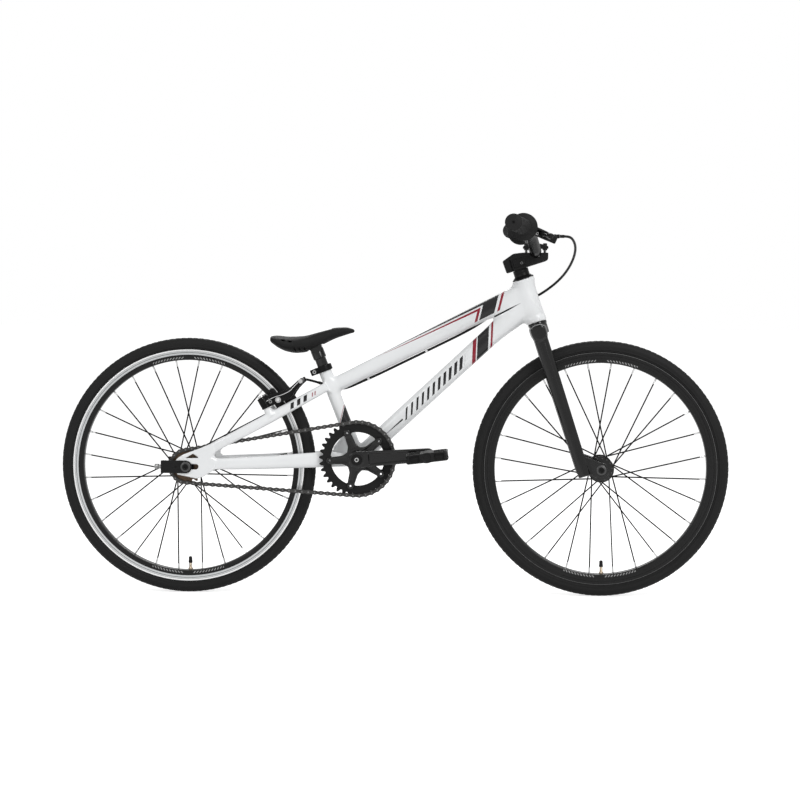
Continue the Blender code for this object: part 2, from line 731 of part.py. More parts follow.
def axle(name, at, hub_width, outer, shaft=AXLE_RADIUS):
    """A wheel axle with its locknuts and end bolts."""
    nut_inner = hub_width / 2 - LOCKNUT_WIDTH
    nut_outer = hub_width / 2 - GAP
    half = [
        (AXLE_HEAD_RADIUS, outer),
        (shaft, outer),
        (shaft, nut_outer),
        (LOCKNUT_RADIUS, nut_outer),
        (LOCKNUT_RADIUS, nut_inner),
        (shaft, nut_inner),
    ]
    end = outer + AXLE_HEAD_WIDTH
    profile = [(0.0, end), (AXLE_HEAD_RADIUS, end)]
    profile += half + [(r, -h) for r, h in reversed(half)]
    profile += [(AXLE_HEAD_RADIUS, -end), (0.0, -end)]
    return turned(name, profile, at, ACROSS, 12, hint=UP)


def make_rear_axle():
    outer = DROPOUT_INNER + DROPOUT_THICKNESS + TUG_THICKNESS + 2 * GAP
    return axle("rear_axle", REAR_AXLE, REAR_HUB_WIDTH, outer)


def make_seat_clamp():
    top = BRACKET + SEAT_UP * SEAT_TUBE_LENGTH
    low = top - SEAT_UP * CLAMP_HEIGHT
    bore = SEAT_TUBE_RADIUS + GAP
    ring = pipe("seat_clamp", low, top, CLAMP_RADIUS, bore, 24, hint=SEAT_AHEAD)
    middle = (top + low) / 2
    start = SEAT_TUBE_RADIUS + 0.002
    ear = block("ear", (CLAMP_EAR - start, CLAMP_EAR_WIDTH, CLAMP_HEIGHT),
                middle - SEAT_AHEAD * (CLAMP_EAR + start) / 2, SEAT_UP, SEAT_AHEAD)
    bolt_at = middle - SEAT_AHEAD * 0.020
    reach = CLAMP_EAR_WIDTH / 2 + 0.003
    bolt = rod("bolt", bolt_at - ACROSS * reach, bolt_at + ACROSS * reach, 0.004, sides=12)
    split = block("split", (CLAMP_EAR, 0.002, CLAMP_HEIGHT * 1.2),
                  middle - SEAT_AHEAD * (SEAT_TUBE_RADIUS + CLAMP_EAR / 2 + 0.0005), SEAT_UP, SEAT_AHEAD)
    return join(cut(join(ring, ear), split), bolt)


def make_bearing(name, low):
    start = HEAD + STEER_UP * low
    return pipe(name, start, start + STEER_UP * BEARING_HEIGHT, BEARING_RADIUS,
                STEERER_RADIUS + RUN, 20, hint=STEER_AHEAD)


def make_cartridge():
    half = SHELL_WIDTH / 2 - 0.001
    centre = on_plane(BRACKET, 0.0)
    return pipe("bottom_bracket_cartridge", centre - ACROSS * half, centre + ACROSS * half,
                SHELL_BORE - GAP, SPINDLE_RADIUS + RUN)


# drive

def ring_radius(teeth):
    """Pitch circle of a toothed wheel."""
    return CHAIN_PITCH / (2.0 * math.sin(math.pi / teeth))


def toothed_outline(x, z, teeth, start):
    """Teeth that stand halfway between the chain's rollers, the first roller being at the start angle."""
    pitch = ring_radius(teeth)
    root = pitch - ROLLER_RADIUS - 0.0006
    tip = pitch + 0.0032
    spots = []
    for i in range(teeth):
        middle = start + (i + 0.5) * 2.0 * math.pi / teeth
        for radius, half in ((root, -0.0028), (tip, -0.0009), (tip, 0.0009), (root, 0.0028)):
            angle = middle + half / radius
            spots.append((x + radius * math.cos(angle), z + radius * math.sin(angle)))
    return spots


def drive_angle():
    """Angle of the line from the rear axle to the bottom bracket."""
    return math.atan2(BRACKET.z - REAR_AXLE.z, BRACKET.x - REAR_AXLE.x)


def chain_loop():
    """The chain's rollers, evenly spread along its loop: position and outward direction in the XZ plane."""
    big = ring_radius(RING_TEETH)
    small = ring_radius(COG_TEETH)
    distance = math.hypot(BRACKET.x - REAR_AXLE.x, BRACKET.z - REAR_AXLE.z)
    lean = math.asin((big - small) / distance)
    straight = distance * math.cos(lean)
    big_arc = big * (math.pi / 2 + lean)
    small_arc = small * (math.pi / 2 - lean)
    half_length = big_arc + straight + small_arc
    pairs = round(half_length / CHAIN_PITCH)
    base = drive_angle()
    rollers = []
    for i in range(2 * pairs):
        s = half_length * i / pairs
        sign = 1.0
        if s > half_length:
            s = 2.0 * half_length - s
            sign = -1.0
        if s < big_arc:
            angle = s / big
            spot = (distance + big * math.cos(angle), big * math.sin(angle))
        elif s < big_arc + straight:
            angle = math.pi / 2 + lean
            t = s - big_arc
            spot = (distance + big * math.cos(angle) - t * math.sin(angle),
                    big * math.sin(angle) + t * math.cos(angle))
        else:
            angle = math.pi - (half_length - s) / small
            spot = (small * math.cos(angle), small * math.sin(angle))
        along = Vector((spot[0], sign * spot[1]))
        out = Vector((math.cos(angle), sign * math.sin(angle)))
        turn = Matrix.Rotation(base, 2)
        along = turn @ along
        out = turn @ out
        centre = Vector((REAR_AXLE.x + along.x, CHAIN_PLANE, REAR_AXLE.z + along.y))
        rollers.append((centre, Vector((out.x, 0.0, out.y))))
    return rollers


def make_chain():
    """Two runs of side plates joined by the rollers, as one closed loop."""
    rollers = chain_loop()
    turns = []
    for before, here, after in zip(rollers[-1:] + rollers[:-1], rollers, rollers[1:] + rollers[:1]):
        if before[1].dot(after[1]) < 0.99999:
            turns.append(here)
    half = CHAIN_PLATE / 2
    inner = CHAIN_INNER_WIDTH / 2
    outer = CHAIN_OUTER_WIDTH / 2
    bands = []
    for side in (-1.0, 1.0):
        bm = bmesh.new()
        rings = []
        for centre, out in turns:
            near = centre + ACROSS * side * inner
            far = centre + ACROSS * side * outer
            corners = (near - out * half, near + out * half, far + out * half, far - out * half)
            rings.append([bm.verts.new(spot) for spot in corners])
        for ring, after in zip(rings, rings[1:] + rings[:1]):
            for i in range(4):
                j = (i + 1) % 4
                bm.faces.new((ring[i], ring[j], after[j], after[i]))
        bmesh.ops.recalc_face_normals(bm, faces=bm.faces)
        bands.append(add_bmesh("chain", bm))
    reach = inner + (outer - inner) / 2
    pins = []
    for centre, out in rollers:
        start = centre - ACROSS * reach
        end = centre + ACROSS * reach
        pins.append(rod("roller", start, end, ROLLER_RADIUS, sides=4, hint=out))
    return join_many(bands[0], [bands[1]] + pins)


def spider_angles():
    return [SPIDER_START + i * 2.0 * math.pi / SPIDER_ARMS for i in range(SPIDER_ARMS)]


def make_chainring():
    x, z = BRACKET.x, BRACKET.z
    outline = toothed_outline(x, z, RING_TEETH, drive_angle())
    bore = ring_radius(RING_TEETH) - ROLLER_RADIUS - RING_BAND
    hole = arc(x, z, bore, 0.0, 348.0, 30)
    ring = plate("chainring", [outline, hole], RING_THICKNESS, CHAIN_PLANE)
    half = RING_THICKNESS / 2
    tabs = []
    for angle in spider_angles():
        tab_x = x + RING_BOLT_CIRCLE * math.cos(angle)
        tab_z = z + RING_BOLT_CIRCLE * math.sin(angle)
        tabs.append(cross_rod("tab", tab_x, tab_z, CHAIN_PLANE - half, CHAIN_PLANE + half,
                              RING_TAB_RADIUS, 12))
    return join(ring, *tabs)


def pedal_centre(side):
    """The pedal axle's place in the middle plane: right crank forward, left crank back."""
    reach = -side * CRANK_LENGTH
    return BRACKET + Vector((reach * math.cos(CRANK_ANGLE), 0.0, reach * math.sin(CRANK_ANGLE)))


def make_crank(side):
    name = "crank_right" if side < 0 else "crank_left"
    tip = pedal_centre(side)
    along = (tip - BRACKET).normalized()
    up = Vector((-along.z, 0.0, along.x))
    middle = CRANK_INNER + CRANK_THICKNESS / 2
    half = CRANK_THICKNESS / 2
    sections = []
    for share, height in ((-0.10, 0.60), (0.0, 1.0), (0.92, 0.92), (1.08, 0.50)):
        size = (CRANK_ROOT_HEIGHT + (CRANK_TIP_HEIGHT - CRANK_ROOT_HEIGHT) * max(share, 0.0)) / 2
        centre = BRACKET + along * (CRANK_LENGTH * share)
        sections.append((on_plane(centre, side * middle), half, size * height, up))
    arm = loft(name, sections, 12, square=5.0)
    boss_inner = SHELL_WIDTH / 2 + 0.004
    if side < 0:
        boss_inner = -CHAIN_PLANE + RING_THICKNESS / 2 + GAP
        outer = boss_inner + SPIDER_THICKNESS
        middle_y = side * (boss_inner + outer) / 2
        legs = [cross_rod("disc", BRACKET.x, BRACKET.z, side * boss_inner, side * outer, SPIDER_ROOT, 20)]
        for angle in spider_angles():
            out = Vector((math.cos(angle), 0.0, math.sin(angle)))
            across = Vector((-out.z, 0.0, out.x))
            corners = [
                BRACKET + across * SPIDER_ARM_ROOT / 2,
                BRACKET - across * SPIDER_ARM_ROOT / 2,
                BRACKET + out * RING_BOLT_CIRCLE - across * SPIDER_ARM_WIDTH / 2,
                BRACKET + out * RING_BOLT_CIRCLE + across * SPIDER_ARM_WIDTH / 2,
            ]
            legs.append(plate("leg", [[(p.x, p.z) for p in corners]], SPIDER_THICKNESS - 0.0004, middle_y))
            foot = BRACKET + out * RING_BOLT_CIRCLE
            legs.append(cross_rod("toe", foot.x, foot.z, side * boss_inner, side * (outer + 0.0015),
                                  SPIDER_ARM_WIDTH / 2 - 0.0002, 10))
        arm = join(arm, *legs)
    boss = cross_rod("boss", BRACKET.x, BRACKET.z, side * boss_inner, side * (CRANK_INNER + 0.004),
                     CRANK_BOSS_RADIUS, 16)
    arm = join(arm, boss)
    bore = cross_rod("bore", BRACKET.x, BRACKET.z, side * 0.030, side * 0.1, SPINDLE_RADIUS + GAP, 16)
    thread = cross_rod("thread", tip.x, tip.z, side * 0.030, side * 0.1, PEDAL_THREAD_RADIUS + GAP, 12)
    return cut(arm, bore, thread)


def make_spindle():
    outer = CRANK_INNER + CRANK_THICKNESS + GAP
    end = outer + CRANK_BOLT_WIDTH
    half = [(CRANK_BOLT_RADIUS, end), (CRANK_BOLT_RADIUS, outer), (SPINDLE_RADIUS, outer)]
    profile = [(0.0, end)] + half
    profile += [(r, -h) for r, h in reversed(profile)]
    return turned("crank_spindle", profile, on_plane(BRACKET, 0.0), ACROSS, 16)


def make_pedal_axle(side):
    name = "pedal_axle_right" if side < 0 else "pedal_axle_left"
    centre = pedal_centre(side)
    face = CRANK_INNER + CRANK_THICKNESS
    end = face + PEDAL_CLEARANCE + PEDAL_WIDTH - 0.008
    flange_end = face + PEDAL_CLEARANCE - RUN
    profile = [
        (0.0, end),
        (PEDAL_SPINDLE_RADIUS, end),
        (PEDAL_SPINDLE_RADIUS, flange_end),
        (0.0092, flange_end),
        (0.0092, face + GAP),
        (PEDAL_THREAD_RADIUS, face + GAP),
        (PEDAL_THREAD_RADIUS, CRANK_INNER),
        (0.0, CRANK_INNER),
    ]
    return turned(name, profile, centre, ACROSS * side, 16, hint=UP)


def make_pedal(side):
    name = "pedal_right" if side < 0 else "pedal_left"
    centre = pedal_centre(side)
    start = CRANK_INNER + CRANK_THICKNESS + PEDAL_CLEARANCE
    end = start + PEDAL_WIDTH
    middle = side * (start + end) / 2
    along = Vector((math.cos(PEDAL_TILT), 0.0, math.sin(PEDAL_TILT)))
    up = Vector((-along.z, 0.0, along.x))
    body = block(name, (PEDAL_LENGTH, PEDAL_WIDTH, PEDAL_THICKNESS), on_plane(centre, middle), up, along)
    windows = []
    bay_x = PEDAL_LENGTH / 2 - PEDAL_HOUSING_RADIUS - 0.009
    bay_y = PEDAL_WIDTH / 2 - 0.010
    for front in (-1, 1):
        for outer in (-1, 1):
            spot = centre + along * front * (PEDAL_HOUSING_RADIUS + 0.002 + bay_x / 2)
            spot = on_plane(spot, middle + outer * (bay_y / 2 + 0.003))
            windows.append(block("bay", (bay_x, bay_y, 0.05), spot, up, along))
    body = cut(body, *windows)
    housing = rod("housing", on_plane(centre, side * start), on_plane(centre, side * end),
                  PEDAL_HOUSING_RADIUS, sides=16)
    bore_end = CRANK_INNER + CRANK_THICKNESS + PEDAL_CLEARANCE + PEDAL_WIDTH - 0.006
    bore = rod("bore", on_plane(centre, side * (start - 0.01)), on_plane(centre, side * bore_end),
               PEDAL_SPINDLE_RADIUS + RUN, sides=16)
    return cut(join(body, housing), bore)


def make_freewheel():
    x, z = REAR_AXLE.x, REAR_AXLE.z
    outline = toothed_outline(x, z, COG_TEETH, drive_angle() + math.pi)
    hole = arc(x, z, FREEWHEEL_BORE + 0.001, 0.0, 337.5, 16)
    cog = plate("freewheel", [outline, hole], RING_THICKNESS, CHAIN_PLANE)
    low = on_plane(REAR_AXLE, CHAIN_PLANE - FREEWHEEL_WIDTH / 2)
    high = on_plane(REAR_AXLE, CHAIN_PLANE + FREEWHEEL_WIDTH / 2)
    body = pipe("body", low, high, FREEWHEEL_RADIUS, FREEWHEEL_BORE, 16)
    return join(cog, body)


# wheels

def wheel_ring(name, profile, at):
    """A turned ring whose flats, not its corners, lie on the given radii, with a flat at the bottom."""
    grow = 1.0 / math.cos(STEP_ANGLE / 2)
    scaled = [(r * grow, h) for r, h in profile]
    return turned(name, scaled, at, ACROSS, WHEEL_STEPS, ring=True, phase=STEP_ANGLE / 2)


def make_tyre(name, at):
    half = TYRE_WIDTH / 2
    flat = TREAD_FLAT / 2
    seat = RIM_WIDTH / 2 - RIM_WALL - 0.0004
    bead = RIM_RADIUS - RIM_WELL + 0.001
    crown = TYRE_RADIUS - TYRE_WALL
    widest = (TYRE_RADIUS + RIM_RADIUS) / 2 - 0.001
    upper = [
        (TYRE_RADIUS, flat),
        (TYRE_RADIUS - 0.0065, half - 0.0012),
        (widest, half),
        (RIM_RADIUS + 0.0006, seat),
        (bead, seat),
    ]
    inner = [(bead, seat - 0.0026), (widest, half - TYRE_WALL), (crown, 0.0)]
    low_inner = [(widest, TYRE_WALL - half), (bead, 0.0026 - seat)]
    lower = [(r, -h) for r, h in reversed(upper)]
    loop = list(reversed(upper + inner + low_inner + lower))
    return wheel_ring(name, loop, at)


def make_rim(name, at):
    half = RIM_WIDTH / 2
    wall = half - RIM_WALL
    floor = RIM_RADIUS - RIM_WELL
    inner = RIM_RADIUS - RIM_DEPTH
    loop = [
        (RIM_RADIUS, wall),
        (RIM_RADIUS, half),
        (inner + 0.004, half),
        (inner, half - 0.0045),
        (inner, 0.0045 - half),
        (inner + 0.004, -half),
        (RIM_RADIUS, -half),
        (RIM_RADIUS, -wall),
        (floor, -wall),
        (floor, wall),
    ]
    rim = wheel_ring(name, loop, at)
    hole = rod("valve_hole", at + VALVE_OUT * (inner - 0.005), at + VALVE_OUT * (floor + 0.005),
               VALVE_RADIUS + GAP, sides=12)
    return cut(rim, hole)


def make_inner_tube(name, at):
    low = RIM_RADIUS - RIM_WELL + 0.0015
    high = TYRE_RADIUS - TYRE_WALL - 0.002
    seat = RIM_WIDTH / 2 - RIM_WALL - 0.0035
    wide = TYRE_WIDTH / 2 - TYRE_WALL - 0.0012
    middle = (TYRE_RADIUS + RIM_RADIUS) / 2 - 0.001
    loop = [(high, 0.0), (middle, -wide), (low, -seat), (low, seat), (middle, wide)]
    ring = wheel_ring(name, loop, at)
    root = RIM_RADIUS - RIM_DEPTH
    foot = low - VALVE_LENGTH
    stem = rod("stem", at + VALVE_OUT * (low + 0.003), at + VALVE_OUT * foot, VALVE_RADIUS, sides=10)
    nut = rod("nut", at + VALVE_OUT * (root - GAP), at + VALVE_OUT * (root - 0.0035), 0.0048, sides=10)
    cap = rod("cap", at + VALVE_OUT * (foot + 0.012), at + VALVE_OUT * (foot - 0.001), 0.004, sides=10)
    return join(ring, stem, nut, cap)


def spoke_ends(at, index, hub_hole, hub_spread):
    """Start and end of one spoke: pairs lean one way and then the other, and sides take turns."""
    rim_angle = VALVE_ANGLE + (index + 0.5) * 2.0 * math.pi / SPOKES
    lean = 1.0 if index % 4 < 2 else -1.0
    hub_angle = rim_angle + lean * SPOKE_CROSS * 2.0 * math.pi / (SPOKES / 2)
    side = -1.0 if index % 2 else 1.0
    y = (hub_spread[0] if side < 0 else hub_spread[1]) + lean * SPOKE_OFFSET
    reach = RIM_RADIUS - RIM_DEPTH - GAP - 0.0004
    tip_y = side * 0.002 + lean * 0.0011
    tip = at + Vector((math.cos(rim_angle) * reach, tip_y, math.sin(rim_angle) * reach))
    root = at + Vector((math.cos(hub_angle) * hub_hole, y, math.sin(hub_angle) * hub_hole))
    return root, tip


def make_hub(name, at, hub_width, flange, barrel, spread, thread_start=None):
    """The hub shell with its spokes. The spread gives the right and left flange planes."""
    half = hub_width / 2 - LOCKNUT_WIDTH - RUN
    bore = AXLE_RADIUS + RUN
    t = FLANGE_THICKNESS / 2
    right, left = spread
    neck = 0.0125
    end = neck if thread_start is None else FREEWHEEL_BORE - RUN - 0.0004
    right_end = -half
    loop = [
        (bore, half),
        (neck, half),
        (neck, left + t),
        (flange, left + t),
        (flange, left - t),
        (barrel, left - t - 0.004),
        (barrel, right + t + 0.004),
        (flange, right + t),
        (flange, right - t),
        (end, right - t),
        (end, right_end),
        (bore, right_end),
    ]
    shell = turned(name, loop, at, ACROSS, 16, ring=True, hint=UP)
    spokes = []
    for index in range(SPOKES):
        root, tip = spoke_ends(at, index, flange - 0.0045, spread)
        spokes.append(rod("spoke", root, tip, SPOKE_RADIUS, sides=4, hint=UP))
    return join_many(shell, spokes)


# steering

def make_fork():
    race = -HEAD_LENGTH / 2 - GAP
    crown_low = race - CROWN_HEIGHT
    top = HEAD_LENGTH / 2 + COVER_HEIGHT + SPACER_HEIGHT + 0.028
    steerer = rod("fork", steer_point(0.0, crown_low), steer_point(0.0, top), STEERER_RADIUS, sides=18,
                  hint=STEER_AHEAD)
    race_ring = rod("race", steer_point(0.0, race - 0.006), steer_point(0.0, race), 0.019, sides=16,
                    hint=STEER_AHEAD)
    middle = race - 0.004 - CROWN_HEIGHT / 2
    spread = FORK_TOP_SPREAD
    deep = CROWN_HALF_DEPTH
    high = CROWN_HEIGHT / 2
    crown_sections = []
    for y, share in ((-1.2, 0.75), (-0.95, 1.0), (0.0, 0.8), (0.95, 1.0), (1.2, 0.75)):
        crown_sections.append((y * spread, share))
    bm = bmesh.new()
    rings = []
    for y, share in crown_sections:
        ring = []
        for i in range(10):
            angle = 2.0 * math.pi * (i + 0.5) / 10
            ahead = deep * share * math.cos(angle) - FORK_LEG_SETBACK * abs(y) / spread
            above = middle + high * share * math.sin(angle)
            ring.append(bm.verts.new(steer_point(ahead, above, y)))
        rings.append(ring)
    for ring, after in zip(rings, rings[1:]):
        for i in range(10):
            j = (i + 1) % 10
            bm.faces.new((ring[i], ring[j], after[j], after[i]))
    bm.faces.new(rings[0])
    bm.faces.new(rings[-1])
    bmesh.ops.recalc_face_normals(bm, faces=bm.faces)
    crown = add_bmesh("crown", bm)
    fork = join(steerer, race_ring, crown)
    axle_drop = -HEAD_LENGTH / 2 - FORK_LENGTH
    foot = axle_drop - 0.003
    slot = AXLE_RADIUS + RUN
    corner = slot * math.tan(math.pi / 8)
    for side in (-1, 1):
        leg = loft("leg", [
            (steer_point(-FORK_LEG_SETBACK, middle + 0.004, side * spread), FORK_LEG_TOP[0],
             FORK_LEG_TOP[1], STEER_AHEAD),
            (steer_point(-FORK_LEG_SETBACK, foot + 0.012, side * FORK_BOTTOM_SPREAD), FORK_LEG_BOTTOM[0],
             FORK_LEG_BOTTOM[1], STEER_AHEAD),
            (steer_point(-FORK_LEG_SETBACK, foot, side * FORK_BOTTOM_SPREAD), FORK_LEG_BOTTOM[0] * 0.6,
             FORK_LEG_BOTTOM[1] * 0.6, STEER_AHEAD),
        ], 12)
        inner = FRONT_HUB_WIDTH / 2
        corners = [
            steer_point(-0.006, axle_drop + 0.036),
            steer_point(0.012, axle_drop + 0.030),
            steer_point(FORK_RAKE + 0.006, axle_drop + 0.0125),
            steer_point(FORK_RAKE + 0.0125, axle_drop + 0.004),
            steer_point(FORK_RAKE + 0.0125, axle_drop - 0.011),
            steer_point(FORK_RAKE + slot, axle_drop - 0.014),
            steer_point(FORK_RAKE + slot, axle_drop + corner),
            steer_point(FORK_RAKE + corner, axle_drop + slot),
            steer_point(FORK_RAKE - corner, axle_drop + slot),
            steer_point(FORK_RAKE - slot, axle_drop + corner),
            steer_point(FORK_RAKE - slot, axle_drop - 0.014),
            steer_point(FORK_RAKE - 0.013, axle_drop - 0.011),
            steer_point(0.004, axle_drop - 0.001),
            steer_point(-0.006, axle_drop + 0.004),
        ]
        tab = plate("tab", [[(p.x, p.z) for p in corners]], FORK_DROPOUT_THICKNESS,
                    side * (inner + FORK_DROPOUT_THICKNESS / 2))
        fork = join(fork, leg, tab)
    return fork


def make_headset_cover():
    low = HEAD_LENGTH / 2 + GAP
    bore = STEERER_RADIUS + GAP
    cone_top = HEAD_LENGTH / 2 + COVER_HEIGHT
    top = cone_top + SPACER_HEIGHT
    profile = [
        (SPACER_RADIUS, top),
        (SPACER_RADIUS, cone_top),
        (COVER_RADIUS, low + 0.002),
        (COVER_RADIUS, low),
        (bore, low),
        (bore, top),
    ]
    return turned("headset_cover", profile, HEAD, STEER_UP, 20, ring=True, hint=STEER_AHEAD)


def stem_bottom():
    return HEAD_LENGTH / 2 + COVER_HEIGHT + SPACER_HEIGHT + GAP


def make_stem():
    low = stem_bottom()
    bar = steer_point(BAR_FORWARD, BAR_ABOVE)
    split = bar.z - GAP / 2
    front_x = bar.x + 0.025
    rear_x = bar.x - 0.0255
    corners = [
        steer_point(-0.028, low),
        steer_point(0.046, low),
        steer_point(0.056, low + 0.005),
    ]
    outline = [(p.x, p.z) for p in corners]
    outline += [(front_x, bar.z - 0.012), (front_x, split), (rear_x, split)]
    rear = steer_point(-0.004, low + 0.034)
    back = steer_point(-0.0295, low + 0.026)
    outline += [(rear.x, rear.z), (back.x, back.z)]
    body = plate("stem", [outline], STEM_WIDTH, 0.0)
    bore = rod("bore", steer_point(0.0, low - 0.01), steer_point(0.0, low + 0.06), STEERER_RADIUS + GAP,
               sides=24, hint=STEER_AHEAD)
    groove = cross_rod("groove", bar.x, bar.z, -STEM_WIDTH, STEM_WIDTH, BAR_RADIUS + GAP, 20)
    return cut(body, bore, groove)


def make_stem_cap():
    bar = steer_point(BAR_FORWARD, BAR_ABOVE)
    low = bar.z + GAP / 2
    outline = [
        (bar.x + 0.025, low),
        (bar.x + 0.025, bar.z + 0.011),
        (bar.x + 0.010, bar.z + 0.0155),
        (bar.x - 0.010, bar.z + 0.0155),
        (bar.x - 0.0255, bar.z + 0.011),
        (bar.x - 0.0255, low),
    ]
    body = plate("stem_cap", [outline], STEM_WIDTH, 0.0)
    groove = cross_rod("groove", bar.x, bar.z, -STEM_WIDTH, STEM_WIDTH, BAR_RADIUS + GAP, 20)
    body = cut(body, groove)
    bolts = []
    for x in (bar.x - 0.0185, bar.x + 0.0185):
        for y in (-0.015, 0.015):
            start = (x, y, bar.z + 0.009)
            bolts.append(rod("bolt", start, (x, y, bar.z + 0.0165), 0.004, sides=8))
    return join(body, *bolts)


def bar_point(side, share):
    """A point on the straight end of the handlebar: 0 at the bend, 1 at the tip."""
    bar = steer_point(BAR_FORWARD, BAR_ABOVE)
    bend = Vector((bar.x - BAR_SWEEP_RISE[0], side * BAR_SWEEP_RISE[1], bar.z + BAR_RISE))
    tip = Vector((bar.x - BAR_END[0], side * BAR_END[1], bar.z + BAR_END[2]))
    return bend.lerp(tip, share)


def rounded(points, reaches, steps=4):
    """The same path with a curve at each inner corner, which starts a given reach before it."""
    path = [points[0]]
    for before, corner, after, reach in zip(points, points[1:], points[2:], reaches):
        start = corner + (before - corner).normalized() * reach
        end = corner + (after - corner).normalized() * reach
        for i in range(steps + 1):
            t = i / steps
            path.append(start.lerp(corner, t).lerp(corner.lerp(end, t), t))
    path.append(points[-1])
    return path


def make_handlebar():
    bar = steer_point(BAR_FORWARD, BAR_ABOVE)
    end_share = 1.0 - (GRIP_END + GAP) / (bar_point(1, 1.0) - bar_point(1, 0.0)).length
    corners = [
        bar_point(-1, end_share),
        bar_point(-1, 0.0),
        on_plane(bar, -BAR_CENTRE_HALF),
        on_plane(bar, BAR_CENTRE_HALF),
        bar_point(1, 0.0),
        bar_point(1, end_share),
    ]
    inner = BAR_CENTRE_HALF - STEM_WIDTH / 2 - 0.002
    path = rounded(corners, (BAR_BEND, inner, inner, BAR_BEND), 3)
    return wire("handlebar", path, BAR_RADIUS, resolution=3)


def make_grip(side):
    name = "grip_right" if side < 0 else "grip_left"
    tip = bar_point(side, 1.0)
    along = (tip - bar_point(side, 0.0)).normalized()
    start = tip - along * GRIP_LENGTH
    bore = BAR_RADIUS + GAP
    profile = [
        (0.0, GRIP_LENGTH),
        (GRIP_RADIUS, GRIP_LENGTH),
        (GRIP_RADIUS, 0.005),
        (GRIP_FLANGE, 0.003),
        (GRIP_FLANGE, 0.0),
        (bore, 0.0),
        (bore, GRIP_LENGTH - GRIP_END),
        (0.0, GRIP_LENGTH - GRIP_END),
    ]
    return turned(name, profile, start, along, 16, hint=UP)


LEVER_ALONG = Vector((math.cos(LEVER_ANGLE), 0.0, -math.sin(LEVER_ANGLE)))
LEVER_AXIS = Vector((math.sin(LEVER_ANGLE), 0.0, math.cos(LEVER_ANGLE)))


def lever_seat():
    """Where the lever bracket clamps the bar."""
    span = BAR_END[1] - BAR_SWEEP_RISE[1]
    return bar_point(-1, (LEVER_Y - BAR_SWEEP_RISE[1]) / span)


def barrel_point():
    """The mouth of the adjusting barrel, where the cable comes out forwards."""
    corner = lever_seat() + LEVER_ALONG * 0.0605 + LEVER_AXIS * (LEVER_RAISE + 0.0075)
    return corner + ACROSS * 0.003 + AHEAD * 0.006


def lever_pivot():
    return lever_seat() + LEVER_ALONG * LEVER_REACH + LEVER_AXIS * LEVER_RAISE - ACROSS * 0.006


def make_lever_bracket():
    seat = lever_seat()
    bar_along = (bar_point(-1, 1.0) - bar_point(-1, 0.0)).normalized()
    collar = rod("brake_lever_bracket", seat - bar_along * 0.009, seat + bar_along * 0.009, 0.0155)
    pivot = lever_pivot()
    body_at = seat + LEVER_ALONG * 0.032 + LEVER_AXIS * LEVER_RAISE - ACROSS * 0.002
    body = block("body", (0.064, 0.017, 0.017), body_at, LEVER_AXIS, LEVER_ALONG)
    barrel = rod("barrel", barrel_point() - AHEAD * 0.012, barrel_point(), BARREL_RADIUS, sides=10)
    bracket = join(collar, body, barrel)
    slot_height = LEVER_THICKNESS + 2 * RUN
    slot = block("slot", (0.026, 0.032, slot_height), pivot - ACROSS * 0.0075, LEVER_AXIS, LEVER_ALONG)
    bore = rod("bore", seat - bar_along * 0.03, seat + bar_along * 0.03, BAR_RADIUS + GAP)
    bracket = cut(bracket, slot, bore)
    pin = rod("pin", pivot - LEVER_AXIS * 0.007, pivot + LEVER_AXIS * 0.007, 0.0022, sides=10)
    return join(bracket, pin)


def make_brake_lever():
    pivot = lever_pivot()
    half = LEVER_THICKNESS / 2
    hub = rod("brake_lever", pivot - LEVER_AXIS * half, pivot + LEVER_AXIS * half, 0.0075, sides=16)
    path = [
        pivot,
        pivot + LEVER_ALONG * 0.008 - ACROSS * 0.020,
        pivot + LEVER_ALONG * 0.012 - ACROSS * 0.050,
        pivot + LEVER_ALONG * 0.009 - ACROSS * 0.085,
        pivot + LEVER_ALONG * 0.014 - ACROSS * 0.105,
    ]
    bm = bmesh.new()
    rings = []
    for i, spot in enumerate(path):
        ahead = path[min(i + 1, len(path) - 1)] - path[max(i - 1, 0)]
        wide = LEVER_AXIS.cross(ahead.normalized())
        thick = 0.0045 if i else 0.006
        corners = ((-1, -1), (1, -1), (1, 1), (-1, 1))
        tall = half if i < 2 else half * 1.5
        ring = [bm.verts.new(spot + wide * a * thick + LEVER_AXIS * b * tall) for a, b in corners]
        rings.append(ring)
    for ring, after in zip(rings, rings[1:]):
        for i in range(4):
            j = (i + 1) % 4
            bm.faces.new((ring[i], ring[j], after[j], after[i]))
    bm.faces.new(rings[0])
    bm.faces.new(rings[-1])
    bmesh.ops.recalc_face_normals(bm, faces=bm.faces)
    blade = add_bmesh("blade", bm)
    bore = rod("bore", pivot - LEVER_AXIS * 0.02, pivot + LEVER_AXIS * 0.02, 0.0022 + RUN, sides=10)
    return cut(join(hub, blade), bore)


# seat

def make_seatpost():
    start = BRACKET + SEAT_UP * (SEAT_TUBE_LENGTH - POST_INSERT)
    neck = BRACKET + SEAT_UP * POST_HEAD_START
    pivot = BRACKET + SEAT_UP * SADDLE_PIVOT
    post = rod("seatpost", start, neck, POST_RADIUS, sides=16, hint=SEAT_AHEAD)
    head = rod("head", neck - SEAT_UP * 0.001, pivot - SEAT_UP * 0.004, POST_HEAD_RADIUS,
               sides=16, hint=SEAT_AHEAD)
    half = SADDLE_PIVOT_WIDTH / 2
    knuckle = cross_rod("knuckle", pivot.x, pivot.z, -half, half, SADDLE_PIVOT_RADIUS, 16)
    return join(post, head, knuckle)


